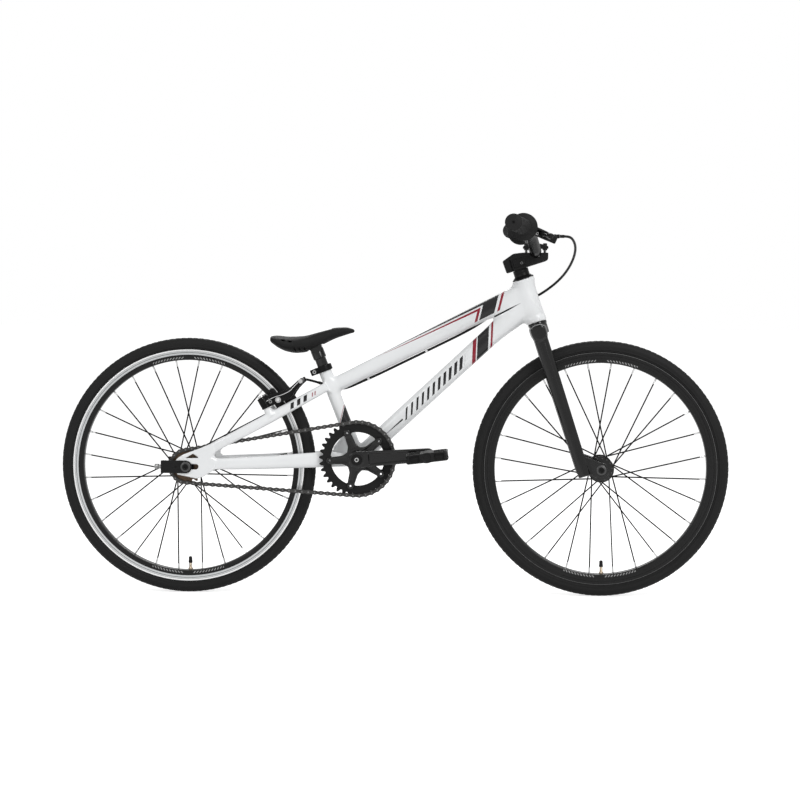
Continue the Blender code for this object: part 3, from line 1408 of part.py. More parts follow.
def make_saddle():
    pivot = BRACKET + SEAT_UP * SADDLE_PIVOT
    sections = []
    for ahead, low, high, half in SADDLE_SHAPE:
        centre = pivot + AHEAD * (ahead * SADDLE_LENGTH + SADDLE_AHEAD)
        centre += UP * ((low + high) / 2 * SADDLE_LENGTH)
        sections.append((centre, half * SADDLE_WIDTH, (high - low) / 2 * SADDLE_LENGTH, UP))
    body = loft("saddle", sections, 16, square=2.6)
    half = SADDLE_PIVOT_WIDTH / 2 + 0.0008
    pocket = cross_rod("pocket", pivot.x, pivot.z, -half, half, SADDLE_PIVOT_RADIUS + 0.0008, 24)
    long, deep = SADDLE_THROAT
    throat = block("throat", (long, 2 * half + 0.003, deep), pivot - SEAT_UP * deep / 2, SEAT_UP, SEAT_AHEAD)
    return cut(body, pocket, throat)


# brake

def make_brake_bolt(side):
    name = "brake_bolt_right" if side < 0 else "brake_bolt_left"
    y = side * BRAKE_POST_SPREAD
    top = BRAKE_BOSS_HEIGHT + GAP + BRAKE_ARM_DEPTH + 2 * RUN
    post = rod(name, stay_point(0.0, BRAKE_BOSS_HEIGHT + GAP, y), stay_point(0.0, top + 0.001, y),
               BRAKE_POST_RADIUS, sides=12, hint=STAY_ALONG)
    head = rod("head", stay_point(0.0, top, y), stay_point(0.0, top + BRAKE_BOLT_WIDTH, y),
               BRAKE_BOLT_RADIUS, sides=12, hint=STAY_ALONG)
    return join(post, head)


def anchor_point(y):
    """Where the brake's wire crosses between the arms."""
    return stay_point(BRAKE_ARM_LENGTH, BRAKE_BOSS_HEIGHT + 0.0155, y)


def pad_centre(y):
    return stay_point(0.0277, 0.0235, y)


def make_brake_arm(side):
    name = "brake_arm_right" if side < 0 else "brake_arm_left"
    y = side * BRAKE_POST_SPREAD
    low = BRAKE_BOSS_HEIGHT + GAP + RUN
    high = low + BRAKE_ARM_DEPTH
    boss = rod(name, stay_point(0.0, low, y), stay_point(0.0, high, y), 0.0095, sides=12, hint=STAY_ALONG)
    sections = []
    for along, under, over in (
        (0.0, low + 0.001, high - 0.001),
        (0.014, low - 0.001, high - 0.002),
        (0.054, 0.0135, 0.0325),
        (0.062, 0.0210, 0.0340),
        (0.078, 0.0270, 0.0380),
        (BRAKE_ARM_LENGTH + 0.005, 0.0295, 0.0400),
    ):
        centre = stay_point(along, (under + over) / 2, y)
        sections.append((centre, BRAKE_ARM_HALF, (over - under) / 2, STAY_UP))
    bar = loft("bar", sections, 8, square=4.0)
    arm = join(boss, bar)
    bore = rod("bore", stay_point(0.0, 0.0, y), stay_point(0.0, 0.08, y), BRAKE_POST_RADIUS + RUN, sides=12,
               hint=STAY_ALONG)
    stud_at = pad_centre(y)
    stud_hole = cross_rod("stud_hole", stud_at.x, stud_at.z, y - 0.02, y + 0.02, 0.003 + GAP, 12)
    arm = cut(arm, bore, stud_hole)
    anchor = anchor_point(y)
    if side > 0:
        hole = cross_rod("hole", anchor.x, anchor.z, y - 0.02, y + 0.02, NOODLE_RADIUS + GAP, 12)
        return cut(arm, hole)
    outer = y - BRAKE_ARM_HALF
    bolt = cross_rod("bolt", anchor.x, anchor.z, outer - 0.0035, outer + 0.002, 0.0042, 8)
    return join(arm, bolt)


def make_pad(side):
    name = "brake_pad_right" if side < 0 else "brake_pad_left"
    inner = RIM_WIDTH / 2 + PAD_CLEARANCE
    radial = (pad_centre(0.0) - REAR_AXLE).normalized()
    tangent = Vector((-radial.z, 0.0, radial.x))
    middle = pad_centre(side * (inner + PAD_THICKNESS / 2))
    shoe = block(name, (PAD_LENGTH, PAD_HEIGHT, PAD_THICKNESS), middle, ACROSS, tangent)
    start = side * (inner + PAD_THICKNESS - 0.001)
    end = side * (BRAKE_POST_SPREAD + BRAKE_ARM_HALF + 0.006)
    centre = pad_centre(0.0)
    stud = cross_rod("stud", centre.x, centre.z, start, end, 0.003, 12)
    washer_end = side * (BRAKE_POST_SPREAD - BRAKE_ARM_HALF - GAP)
    washer = cross_rod("washer", centre.x, centre.z, washer_end - side * 0.005, washer_end, 0.006, 12)
    nut_start = side * (BRAKE_POST_SPREAD + BRAKE_ARM_HALF + GAP)
    nut = cross_rod("nut", centre.x, centre.z, nut_start, nut_start + side * 0.0045, 0.005, 6)
    return join(shoe, stud, washer, nut)


def noodle_tip():
    return anchor_point(0.024)


def noodle_path():
    """From the housing's end, round a bend and through the left arm."""
    return [
        anchor_point(0.0565) + Vector((0.029, 0.0, -0.0060)),
        anchor_point(0.0605) + Vector((0.019, 0.0, -0.0035)),
        anchor_point(0.0625) + Vector((0.009, 0.0, -0.0012)),
        anchor_point(0.0600) + Vector((0.0025, 0.0, 0.0)),
        anchor_point(0.054),
        anchor_point(0.045),
        noodle_tip(),
    ]


def make_noodle():
    return wire("brake_noodle", noodle_path(), NOODLE_RADIUS)


def make_brake_wire():
    right_face = -(BRAKE_POST_SPREAD - BRAKE_ARM_HALF)
    start = anchor_point(noodle_tip().y - GAP)
    end = anchor_point(right_face + GAP)
    core = rod("brake_wire", end, start, WIRE_RADIUS, sides=8)
    boot = rod("boot", anchor_point(-0.004), start, BOOT_RADIUS * 0.6, BOOT_RADIUS, sides=10)
    return join(core, boot)


def tube_side(share, turn, out):
    """A point beside the top tube: how far along it, how far round from straight below, and how far off."""
    centre = TOP_TUBE_START.lerp(TOP_TUBE_END, share)
    wide = TOP_TUBE_REAR[0] + (TOP_TUBE_FRONT[0] - TOP_TUBE_REAR[0]) * share + out
    deep = TOP_TUBE_REAR[1] + (TOP_TUBE_FRONT[1] - TOP_TUBE_REAR[1]) * share + out
    angle = math.radians(turn)
    return centre - TOP_TUBE_UP * (deep * math.cos(angle)) + ACROSS * (wide * math.sin(angle))


CABLE_OFF = CLIP_RADIUS + GAP
FRAME_CABLE = ((0.125, 0.0), (0.30, 0.0), (0.50, 0.0), (0.62, 8.0), (0.70, 22.0), (0.77, 42.0), (0.83, 62.0),
               (0.875, 76.0))


def smooth(points, steps):
    """A curve through the points, with a few steps between each pair."""
    spots = []
    ends = [2 * points[0] - points[1]] + list(points) + [2 * points[-1] - points[-2]]
    for a, b, c, d in zip(ends, ends[1:], ends[2:], ends[3:]):
        for i in range(steps):
            t = i / steps
            spots.append(0.5 * (2 * b + (c - a) * t + (2 * a - 5 * b + 4 * c - d) * t ** 2
                                + (3 * b - a - 3 * c + d) * t ** 3))
    spots.append(points[-1])
    return spots


def follow_on(path):
    """Where the next stretch starts: two points straight off the end of a path, a gap away from it."""
    along = (path[-1] - path[-2]).normalized()
    start = path[-1] + along * GAP
    return [start, start + along * 2 * CABLE_RADIUS]


def frame_cable_path():
    return smooth([tube_side(share, turn, CABLE_OFF) for share, turn in FRAME_CABLE], 2)


def make_cable_frame():
    half = CLIP_LENGTH / 2
    cable = wire("brake_cable_frame", frame_cable_path(), CABLE_RADIUS)
    clips = []
    for share, turn in ((0.17, 0.0), (0.465, 0.0), (0.765, 40.5)):
        middle = tube_side(share, turn, CABLE_OFF)
        after = tube_side(share + 0.005, turn + (1.3 if turn else 0.0), CABLE_OFF)
        along = (after - middle).normalized()
        clips.append(rod("clip", middle - along * half, middle + along * half, CLIP_RADIUS, sides=10))
    return join(cable, *clips)


def make_cable_front():
    """The free stretch from the top tube, past the head tube's left side, round to the lever."""
    barrel = barrel_point() + AHEAD * GAP
    points = follow_on(frame_cable_path())
    points += [steer_point(*spot) for spot in FRONT_CABLE]
    points += [barrel + AHEAD * 0.018, barrel + AHEAD * 2 * CABLE_RADIUS, barrel]
    return wire("brake_cable_front", points[:1] + smooth(points[1:-1], 2) + points[-1:], CABLE_RADIUS)


def make_cable_rear():
    """The free stretch from the top tube, past the seat tube's left side, to the noodle."""
    noodle = noodle_path()
    points = follow_on(list(reversed(frame_cable_path())))
    points += [local(BRACKET, SEAT_AHEAD, SEAT_UP, *spot) for spot in REAR_CABLE]
    points += reversed(follow_on(list(reversed(noodle))))
    return wire("brake_cable_rear", points[:1] + smooth(points[1:-1], 2) + points[-1:], CABLE_RADIUS)


# assembly

def build_frame():
    white_paint(make_head_tube())
    white_paint(make_top_tube())
    white_paint(make_down_tube())
    white_paint(make_seat_tube())
    white_paint(make_shell())
    for side in (-1, 1):
        white_paint(make_chainstay(side))
        white_paint(make_seatstay(side))
        white_paint(make_dropout(side))
        black_paint(make_tug(side))
        steel(make_brake_bolt(side))
    steel(make_rear_axle())
    black_paint(make_seat_clamp())
    half = HEAD_LENGTH / 2
    steel(make_bearing("headset_bearing_upper", half - BEARING_HEIGHT - GAP))
    steel(make_bearing("headset_bearing_lower", -half + GAP))
    steel(make_cartridge())
    black_plastic(make_cable_frame())
    black_plastic(make_cable_rear())
    black_paint(make_chain())


def build_steering():
    pieces = [
        black_paint(make_fork()),
        steel(axle("front_axle", FRONT_AXLE, FRONT_HUB_WIDTH,
                   FRONT_HUB_WIDTH / 2 + FORK_DROPOUT_THICKNESS + GAP)),
        black_paint(make_headset_cover()),
        black_paint(make_stem()),
        black_paint(make_stem_cap()),
        black_paint(make_handlebar()),
        rubber(make_grip(-1)),
        rubber(make_grip(1)),
        black_plastic(make_lever_bracket()),
        black_plastic(make_cable_front()),
    ]
    hang("steering_axis", HEAD, pieces)
    hang("lever_axis", lever_pivot(), [black_paint(make_brake_lever())])


def build_wheels():
    front_spread = (-FRONT_FLANGE_SPREAD, FRONT_FLANGE_SPREAD)
    rear_spread = (-REAR_FLANGE_RIGHT, REAR_FLANGE_LEFT)
    front = [
        black_paint(make_hub("front_hub", FRONT_AXLE, FRONT_HUB_WIDTH, FRONT_FLANGE, FRONT_HUB_BARREL,
                             front_spread)),
        black_paint(make_rim("front_rim", FRONT_AXLE)),
        rubber(make_tyre("front_tyre", FRONT_AXLE)),
        rubber(make_inner_tube("front_tube", FRONT_AXLE)),
    ]
    hang("front_wheel_axis", FRONT_AXLE, front)
    rear = [
        black_paint(make_hub("rear_hub", REAR_AXLE, REAR_HUB_WIDTH, REAR_FLANGE, REAR_HUB_BARREL,
                             rear_spread, thread_start=REAR_FLANGE_RIGHT)),
        steel(make_rim("rear_rim", REAR_AXLE)),
        rubber(make_tyre("rear_tyre", REAR_AXLE)),
        rubber(make_inner_tube("rear_tube", REAR_AXLE)),
    ]
    hang("rear_wheel_axis", REAR_AXLE, rear)


def build_drive():
    cranks = [
        steel(make_spindle()),
        black_paint(make_crank(-1)),
        black_paint(make_crank(1)),
        black_paint(make_chainring()),
        steel(make_pedal_axle(-1)),
        steel(make_pedal_axle(1)),
    ]
    hang("crank_axis", BRACKET, cranks)
    hang("freewheel_axis", REAR_AXLE, [steel(make_freewheel())])
    hang("pedal_axis_right", pedal_centre(-1), [black_paint(make_pedal(-1))])
    hang("pedal_axis_left", pedal_centre(1), [black_paint(make_pedal(1))])


def build_brake():
    right = [black_paint(make_brake_arm(-1)), rubber(make_pad(-1)), steel(make_brake_wire())]
    hang("brake_axis_right", on_plane(BRAKE_BASE, -BRAKE_POST_SPREAD), right)
    left = [black_paint(make_brake_arm(1)), rubber(make_pad(1)), steel(make_noodle())]
    hang("brake_axis_left", on_plane(BRAKE_BASE, BRAKE_POST_SPREAD), left)


def build_seat():
    hang("seatpost_axis", BRACKET + SEAT_UP * SEAT_TUBE_LENGTH, [black_paint(make_seatpost())])
    hang("saddle_axis", BRACKET + SEAT_UP * SADDLE_PIVOT, [black_plastic(make_saddle())])


build_frame()
build_steering()
build_wheels()
build_drive()
build_brake()
build_seat()
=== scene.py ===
import math
from functools import reduce

import bmesh
import bpy
import numpy as np
from mathutils import Matrix, Vector


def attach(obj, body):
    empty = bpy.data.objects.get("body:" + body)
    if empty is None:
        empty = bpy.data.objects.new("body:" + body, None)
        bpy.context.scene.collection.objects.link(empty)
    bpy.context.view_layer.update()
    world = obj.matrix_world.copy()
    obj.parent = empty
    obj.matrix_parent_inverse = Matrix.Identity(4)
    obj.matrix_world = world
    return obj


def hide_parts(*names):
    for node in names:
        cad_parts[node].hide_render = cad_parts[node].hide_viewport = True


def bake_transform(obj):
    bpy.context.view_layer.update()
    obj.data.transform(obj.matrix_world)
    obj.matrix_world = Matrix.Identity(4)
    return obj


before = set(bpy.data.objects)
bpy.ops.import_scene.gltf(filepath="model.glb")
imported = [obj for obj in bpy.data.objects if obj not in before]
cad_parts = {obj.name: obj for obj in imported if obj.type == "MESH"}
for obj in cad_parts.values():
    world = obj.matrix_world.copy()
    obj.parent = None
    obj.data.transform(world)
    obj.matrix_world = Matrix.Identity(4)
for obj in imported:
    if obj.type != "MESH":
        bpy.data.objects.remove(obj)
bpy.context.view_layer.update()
print("cad loaded:", len(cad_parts), "nodes")

# the bike's layout in millimetres: x ahead, y to the rider's left, z up


def spot(x, y, z):
    return np.array((x, y, z), float)


milli = 0.001  # a millimetre in Blender's metres
fullTurn = 2 * math.pi
bothHands = ((-1, "right"), (1, "left"))


def unit(way):
    return np.asarray(way, float) / np.linalg.norm(way)


def leaning(degrees):
    # up along a tube that leans back, and square to it
    angle = math.radians(degrees)
    up = spot(-math.cos(angle), 0, math.sin(angle))
    return up, spot(math.sin(angle), 0, math.cos(angle))


def heading(angle):
    # a way in the middle plane, by its angle above straight ahead
    return spot(math.cos(angle), 0, math.sin(angle))


ahead, across, upward = np.eye(3)
rearAxle = spot(-409, 0, 253.5)
frontAxle = spot(409, 0, 253.5)
bracket = spot(-71, 0, 271)
steerUp, steerAhead = leaning(72.0)
seatUp, seatAhead = leaning(68.5)
head = frontAxle - steerAhead * 32.4 + steerUp * 359.1
topStart = bracket + seatUp * 150.3
topEnd = head + steerUp * 21.8
topAlong = unit(topEnd - topStart)
topUp = np.cross(topAlong, across)
downEnd = head + steerUp * 1.3
downAlong = unit(downEnd - bracket)
downUp = np.cross(downAlong, across)
stayRear = rearAxle + spot(51, 0, 33.7)
stayTop = bracket + seatUp * 155.3
stayAlong = unit(stayTop - stayRear)
stayUp = np.cross(stayAlong, across)
brakeBase = rearAxle + stayAlong * 195
brakeBase = brakeBase + stayUp * ((stayRear - brakeBase) @ stayUp)
crankWay = heading(math.radians(4.4))
barMiddle = head + steerAhead * 39.3 + steerUp * 89.2


def onSteer(forward, above, y=0.0):
    return head + steerAhead * forward + steerUp * above + across * y


def onStay(along, above, y=0.0):
    return brakeBase + stayAlong * along + stayUp * above + across * y


def onSeat(forward, above, y=0.0):
    return bracket + seatAhead * forward + seatUp * above + across * y


# the camera stands where the photograph's did, in metres
cameraPlan = {
    "place": (0.182, -5.0, 0.594),
    "yaw": -1.95,
    "pitch": -2.39,
    "roll": 0.38,
    "lens": 113.436,
    "shift": (-0.000625, 0.000625),
}


def makeCamera(plan):
    yaw, pitch, roll = (math.radians(plan[key]) for key in ("yaw", "pitch", "roll"))
    forward = Vector((math.sin(yaw) * math.cos(pitch), math.cos(yaw) * math.cos(pitch), math.sin(pitch)))
    right = Vector((math.cos(yaw), -math.sin(yaw), 0))
    up = right.cross(forward)
    columns = (math.cos(roll) * right + math.sin(roll) * up,
               math.cos(roll) * up - math.sin(roll) * right, -forward)
    lens = bpy.data.cameras.new("camera")
    lens.lens = plan["lens"]
    lens.sensor_width = 36
    lens.shift_x, lens.shift_y = plan["shift"]
    lens.clip_end = 50
    camera = bpy.data.objects.new("camera", lens)
    camera.matrix_world = Matrix.Translation(plan["place"]) @ Matrix(columns).transposed().to_4x4()
    bpy.context.scene.collection.objects.link(camera)
    bpy.context.scene.camera = camera


makeCamera(cameraPlan)
bpy.context.scene.view_settings.view_transform = "Standard"


def reckoning(operation, swapped=False):
    def reckon(self, *others):
        terms = (*others, self) if swapped else (self, *others)
        return self.sheet.add("ShaderNodeMath", {"operation": operation}, dict(enumerate(terms)))

    return reckon


class Flow:
    # a socket that can stand in plain sums
    def __init__(self, sheet, socket):
        self.sheet = sheet
        self.socket = socket

    __add__, __radd__ = reckoning("ADD"), reckoning("ADD", True)
    __sub__, __rsub__ = reckoning("SUBTRACT"), reckoning("SUBTRACT", True)
    __mul__, __rmul__ = reckoning("MULTIPLY"), reckoning("MULTIPLY", True)
    __truediv__, __mod__ = reckoning("DIVIDE"), reckoning("MODULO")
    __gt__, __lt__ = reckoning("GREATER_THAN"), reckoning("LESS_THAN")
    floor, size, root = reckoning("FLOOR"), reckoning("ABSOLUTE"), reckoning("SQRT")
    sine, cosine, angle = reckoning("SINE"), reckoning("COSINE"), reckoning("ARCTAN2")
    least, most = reckoning("MINIMUM"), reckoning("MAXIMUM")

    def within(self, low, high):
        # 1 between two bounds, 0 outside
        return (self > low) * (self < high)


class Sheet:
    # a node tree that nodes are added to
    def __init__(self, tree):
        self.tree = tree

    def add(self, kind, settings=None, values=None, out=0):
        node = self.tree.nodes.new(kind)
        for key, value in (settings or {}).items():
            if key == "stops":
                while len(node.color_ramp.elements) < len(value):
                    node.color_ramp.elements.new(1.0)
                for stop, (place, colour) in zip(node.color_ramp.elements, value):
                    stop.position = place
                    stop.color = colour
            else:
                setattr(node, key, value)
        for key, value in (values or {}).items():
            for one in value if isinstance(value, list) else [value]:
                if isinstance(one, Flow):
                    self.tree.links.new(one.socket, node.inputs[key])
                else:
                    node.inputs[key].default_value = one
        return Flow(self, node.outputs[out])

    def parts(self, vector):
        node = self.add("ShaderNodeSeparateXYZ", {}, {0: vector}).socket.node
        return [Flow(self, out) for out in node.outputs]

    def vector(self, x, y, z):
        return self.add("ShaderNodeCombineXYZ", {}, {0: x, 1: y, 2: z})

    def shift(self, first, second, operation="ADD"):
        return self.add("ShaderNodeVectorMath", {"operation": operation}, {0: first, 1: second})

    def turned(self, angle):
        # a turn about the y axis
        return self.add("FunctionNodeEulerToRotation", {}, {0: self.vector(0.0, angle * -1.0, 0.0)})

    def noise(self, vector, scale, detail=2.0):
        return self.add("ShaderNodeTexNoise", {}, {"Vector": vector, "Scale": scale, "Detail": detail})

    def tint(self, mask, first, second):
        # colours by a mask
        return self.add("ShaderNodeMix", {"data_type": "RGBA"}, {0: mask, 6: first, 7: second}, 2)


def shade(value):
    return (value, value, value, 1.0)


class Surface:
    # a Principled material with its Object coordinates at hand
    def __init__(self, name, fixed):
        self.material = bpy.data.materials.new(name)
        self.material.use_nodes = True
        self.shader = self.material.node_tree.nodes["Principled BSDF"]
        for key, value in fixed.items():
            self.shader.inputs[key].default_value = value
        self.sheet = Sheet(self.material.node_tree)
        self.place = self.sheet.add("ShaderNodeTexCoord", out="Object")

    def link(self, **links):
        names = {"colour": "Base Color", "rough": "Roughness", "metal": "Metallic", "coat": "Coat Weight"}
        for key, flow in links.items():
            self.sheet.tree.links.new(flow.socket, self.shader.inputs[names[key]])

    def bump(self, height, depth, strength=1.0):
        # strength is the share of the height that shows
        values = {"Strength": strength, "Distance": depth, "Height": height}
        bumped = self.sheet.add("ShaderNodeBump", {}, values)
        self.sheet.tree.links.new(bumped.socket, self.shader.inputs["Normal"])


def plainFinish(name, colour, spread, rough, swing, grain, depth, cloud, fixed):
    # colour and gloss drift slowly, the bump has a fine grain
    names = {"metal": "Metallic", "coat": "Coat Weight", "coatRough": "Coat Roughness",
             "gloss": "Specular IOR Level"}
    made = Surface(name, {names[key]: value for key, value in fixed.items()})
    drift = made.sheet.noise(made.place, cloud, 4.0)
    fine = made.sheet.noise(made.place, grain, 3.0)
    colour = colour if isinstance(colour, tuple) else (colour,) * 3
    dark, light = (tuple(min(1.0, c * (1 + way * spread)) for c in colour) + (1.0,) for way in (-1, 1))
    rough = rough + (drift - 0.5) * swing + (fine - 0.5) * swing
    made.link(colour=made.sheet.tint(drift, dark, light), rough=rough)
    made.bump(fine, depth)
    return made.material


# colour or grey, its spread, roughness, its swing, grain per metre, bump depth, drift per metre
finishTable = {
    "blackPaint": (0.006, 0.25, 0.28, 0.1, 900, 0.00005, 30, {"gloss": 0.11}),
    "blackGloss": (0.006, 0.25, 0.14, 0.06, 300, 0.00002, 20, {"gloss": 0.26, "coat": 0.24, "coatRough": 0.04}),
    "blackSatin": (0.009, 0.25, 0.38, 0.12, 1400, 0.00006, 30, {"gloss": 0.14}),
    "blackPlastic": (0.01, 0.2, 0.46, 0.12, 1600, 0.00012, 30, {"gloss": 0.13}),
    "saddlePlastic": (0.012, 0.2, 0.62, 0.1, 2200, 0.00015, 30, {"gloss": 0.12}),
    "gripRubber": (0.013, 0.15, 0.58, 0.1, 2500, 0.00012, 30, {"gloss": 0.13}),
    "housing": (0.006, 0.2, 0.36, 0.1, 1200, 0.00004, 30, {"gloss": 0.18}),
    "steel": (0.62, 0.12, 0.27, 0.12, 1800, 0.00004, 30, {"metal": 1.0}),
    "darkSteel": (0.2, 0.3, 0.38, 0.14, 1500, 0.00005, 30, {"metal": 1.0}),
    "axleSteel": (0.078, 0.25, 0.42, 0.12, 1500, 0.00004, 30, {"metal": 0.9}),
    "washer": (0.3, 0.2, 0.42, 0.12, 1500, 0.00004, 30, {"metal": 0.9}),
    "nipple": (0.66, 0.1, 0.3, 0.1, 900, 0.00003, 30, {"metal": 1.0}),
    "brass": ((0.56, 0.47, 0.36), 0.2, 0.36, 0.12, 1500, 0.00005, 30, {"metal": 1.0}),
    "bronze": ((0.085, 0.055, 0.034), 0.35, 0.42, 0.16, 900, 0.00008, 80, {"metal": 0.7}),
    "chainPlate": ((0.05916, 0.058, 0.05684), 0.35, 0.4, 0.16, 900, 0.00006, 90, {"metal": 0.9}),
    "chainPin": (0.2, 0.25, 0.32, 0.12, 900, 0.00004, 90, {"metal": 1.0}),
    "spokeBlack": (0.008, 0.2, 0.5, 0.1, 900, 0.00003, 30, {"gloss": 0.1}),
    "clipWhite": (0.74, 0.05, 0.35, 0.08, 900, 0.00004, 30, {}),
}
finishes = {name: plainFinish(name, *row) for name, row in finishTable.items()}
print("finishes:", len(finishes))


def linked(obj):
    bpy.context.scene.collection.objects.link(obj)
    return obj


def evaluated(obj):
    # the object's mesh with its modifiers or its curve worked out
    bpy.context.view_layer.update()
    return bpy.data.meshes.new_from_object(obj.evaluated_get(bpy.context.evaluated_depsgraph_get()))


def newMesh(name, points, faces, material, sharp=35.0, merge=True):
    mesh = bpy.data.meshes.new(name)
    mesh.from_pydata(np.asarray(points, float) * milli, [], faces)
    if merge:
        soft = bmesh.new()
        soft.from_mesh(mesh)
        bmesh.ops.remove_doubles(soft, verts=soft.verts, dist=0.000003)
        bmesh.ops.recalc_face_normals(soft, faces=soft.faces)
        soft.to_mesh(mesh)
        soft.free()
    mesh.update()
    obj = linked(bpy.data.objects.new(name, mesh))
    mesh.materials.append(finishes[material])
    mesh.shade_smooth()
    if sharp:
        mesh.set_sharp_from_angle(angle=math.radians(sharp))
    return obj


def ringFaces(count, sides, loop):
    faces = []
    for i in range(count if loop else count - 1):
        a = i * sides
        b = ((i + 1) % count) * sides
        for j in range(sides):
            k = (j + 1) % sides
            faces.append((a + j, a + k, b + k, b + j))
    if not loop:
        faces.append(tuple(range(sides - 1, -1, -1)))
        faces.append(tuple(range((count - 1) * sides, count * sides)))
    return faces


def bothSides(half):
    # a profile from its first half, mirrored about height 0
    return half + [(r, -h) for r, h in reversed(half)]


def rod(radius, half):
    return bothSides([(0, -half), (radius, -half)])


def lathed(name, profile, at, along, material, steps=48, loop=False, shape=None, sharp=35.0):
    # a profile of (radius, height) turned about an axis
    along = unit(along)
    first = unit(np.cross(along, across)) if abs(along[1]) < 0.9 else ahead
    second = np.cross(along, first)
    turn = np.arange(steps) * fullTurn / steps
    rows = []
    for number, (radius, height) in enumerate(profile):
        reach = np.full(steps, float(radius)) if shape is None else shape(number, radius, turn)
        ring = np.outer(reach * np.cos(turn), first) + np.outer(reach * np.sin(turn), second)
        rows.append(at + along * height + ring)
    return newMesh(name, np.concatenate(rows), ringFaces(len(profile), steps, loop), material, sharp)


def filleted(points, reach, steps=3, loop=False):
    # the same line with each corner drawn as a short curve
    points = [np.asarray(p, float) for p in points]
    count = len(points)
    path = [] if loop else [points[0]]
    for i in range(0 if loop else 1, count if loop else count - 1):
        before, corner, after = points[i - 1], points[i], points[(i + 1) % count]
        size = reach[i] if isinstance(reach, (list, tuple)) else reach
        size = min(size, np.linalg.norm(before - corner) * 0.45, np.linalg.norm(after - corner) * 0.45)
        if size < 1e-6:
            path.append(corner)
            continue
        start = corner + unit(before - corner) * size
        end = corner + unit(after - corner) * size
        for j in range(steps + 1):
            t = j / steps
            path.append((start * (1 - t) + corner * t) * (1 - t) + (corner * (1 - t) + end * t) * t)
    if not loop:
        path.append(points[-1])
    return path


def flatPlate(name, outlines, thickness, y, material, edge=0.4):
    # outlines of (x, z) points, the first one outside, with a small chamfer all round
    curve = bpy.data.curves.new(name, "CURVE")
    curve.dimensions = "2D"
    curve.fill_mode = "BOTH"
    curve.extrude = (thickness / 2 - edge) * milli
    curve.bevel_depth = edge * milli
    curve.bevel_resolution = 1
    curve.offset = -edge * milli
    for outline in outlines:
        line = curve.splines.new("POLY")
        line.points.add(len(outline) - 1)
        line.use_cyclic_u = True
        for slot, p in zip(line.points, outline):
            slot.co = (p[0] * milli, p[1] * milli, 0, 1)
    obj = linked(bpy.data.objects.new(name, curve))
    mesh = evaluated(obj)
    bpy.data.objects.remove(obj)
    mesh.transform(Matrix.Translation((0, y * milli, 0)) @ Matrix.Rotation(math.pi / 2, 4, "X"))
    points = [v.co / milli for v in mesh.vertices]
    faces = [tuple(face.vertices) for face in mesh.polygons]
    return newMesh(name, points, faces, material, 30.0)


def gather(name, *objs):
    # several plain meshes as one, each keeping its material
    soft = bmesh.new()
    materials = []
    for obj in objs:
        start = len(soft.faces)
        soft.from_mesh(obj.data)
        soft.faces.ensure_lookup_table()
        slots = []
        for own in obj.data.materials:
            if own not in materials:
                materials.append(own)
            slots.append(materials.index(own))
        for face in soft.faces[start:]:
            face.material_index = slots[face.material_index]
        bpy.data.objects.remove(obj)
    mesh = bpy.data.meshes.new(name)
    soft.to_mesh(mesh)
    soft.free()
    for own in materials:
        mesh.materials.append(own)
    return linked(bpy.data.objects.new(name, mesh))


def settle(obj, body, slot, *nodes):
    # the piece rides a body, or keeps its place fixed when given two, and stands for its solids, which are hidden;
    # slot is not used
    if isinstance(body, str):
        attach(obj, body)
    else:
        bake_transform(obj)
    if nodes:
        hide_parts(*nodes)
    return obj


def mount(name, pieces, body, slot, *nodes):
    return settle(gather(name, *pieces), body, slot, *nodes)


# shapes from distance fields, where tubes run into each other with a smooth fillet


def softMin(a, b, k):
    h = np.clip(0.5 + 0.5 * (b - a) / k, 0, 1)
    return b * (1 - h) + a * h - k * h * (1 - h)


def softMax(a, b, k):
    return -softMin(-a, -b, k)


def joined(body, *parts):
    # each part with the size of its fillet
    for part, k in parts:
        body = softMin(body, part, k)
    return body


def carved(body, *parts):
    # each part taken away, its edges eased
    for part, k in parts:
        body = softMax(body, -part, k)
    return body


def overlap(*parts):
    return reduce(np.maximum, parts)


def twoSlabs(t, off, half):
    # one slab on each side of the middle
    return np.abs(np.abs(t) - off) - half


farOff = 30.0


def onlyNear(count, near, values):
    result = np.full(count, farOff)
    result[near] = values
    return result


def eased(t, rows, column):
    # a column of a table read at t, its corners rounded
    table = np.linspace(rows[0, 0], rows[-1, 0], 121)
    values = np.interp(table, rows[:, 0], rows[:, column])
    padded = np.concatenate([[values[0]] * 6, values, [values[-1]] * 6])
    return np.interp(t, table, np.convolve(padded, np.ones(13) / 13, "valid"))


def sweepField(p, start, along, up, rows, power=2.0, edge=1.5, side=across):
    # rows: (distance along, centre to the side, centre up, half width, half height)
    rows = np.array(rows, float)
    q = p - start
    t = q @ along
    wide = (np.abs(rows[:, 1]) + rows[:, 3]).max() + farOff
    high = (np.abs(rows[:, 2]) + rows[:, 4]).max() + farOff
    near = (t > rows[0, 0] - farOff) & (t < rows[-1, 0] + farOff)
    near &= (np.abs(q @ side) < wide) & (np.abs(q @ up) < high)
    q, t = q[near], t[near]
    columns = [eased(t, rows, k) for k in range(1, 5)]
    u = np.abs(q @ side - columns[0]) / columns[2]
    v = np.abs(q @ up - columns[1]) / columns[3]
    wall = ((u ** power + v ** power) ** (1 / power) - 1) * np.minimum(columns[2], columns[3])
    wall = softMax(wall, np.maximum(rows[0, 0] - t, t - rows[-1, 0]), edge)
    return onlyNear(len(p), near, wall)


def roundField(p, start, axis, rows, edge=0.8):
    # rows: (distance along, radius)
    rows = np.array(rows, float)
    q = p - start
    t = q @ axis
    near = (t > rows[0, 0] - farOff) & (t < rows[-1, 0] + farOff)
    q, t = q[near], t[near]
    reach = np.sqrt(np.maximum((q * q).sum(1) - t * t, 0))
    wall = reach - np.interp(t, rows[:, 0], rows[:, 1])
    wall = softMax(wall, np.maximum(rows[0, 0] - t, t - rows[-1, 0]), edge)
    return onlyNear(len(p), near, wall)


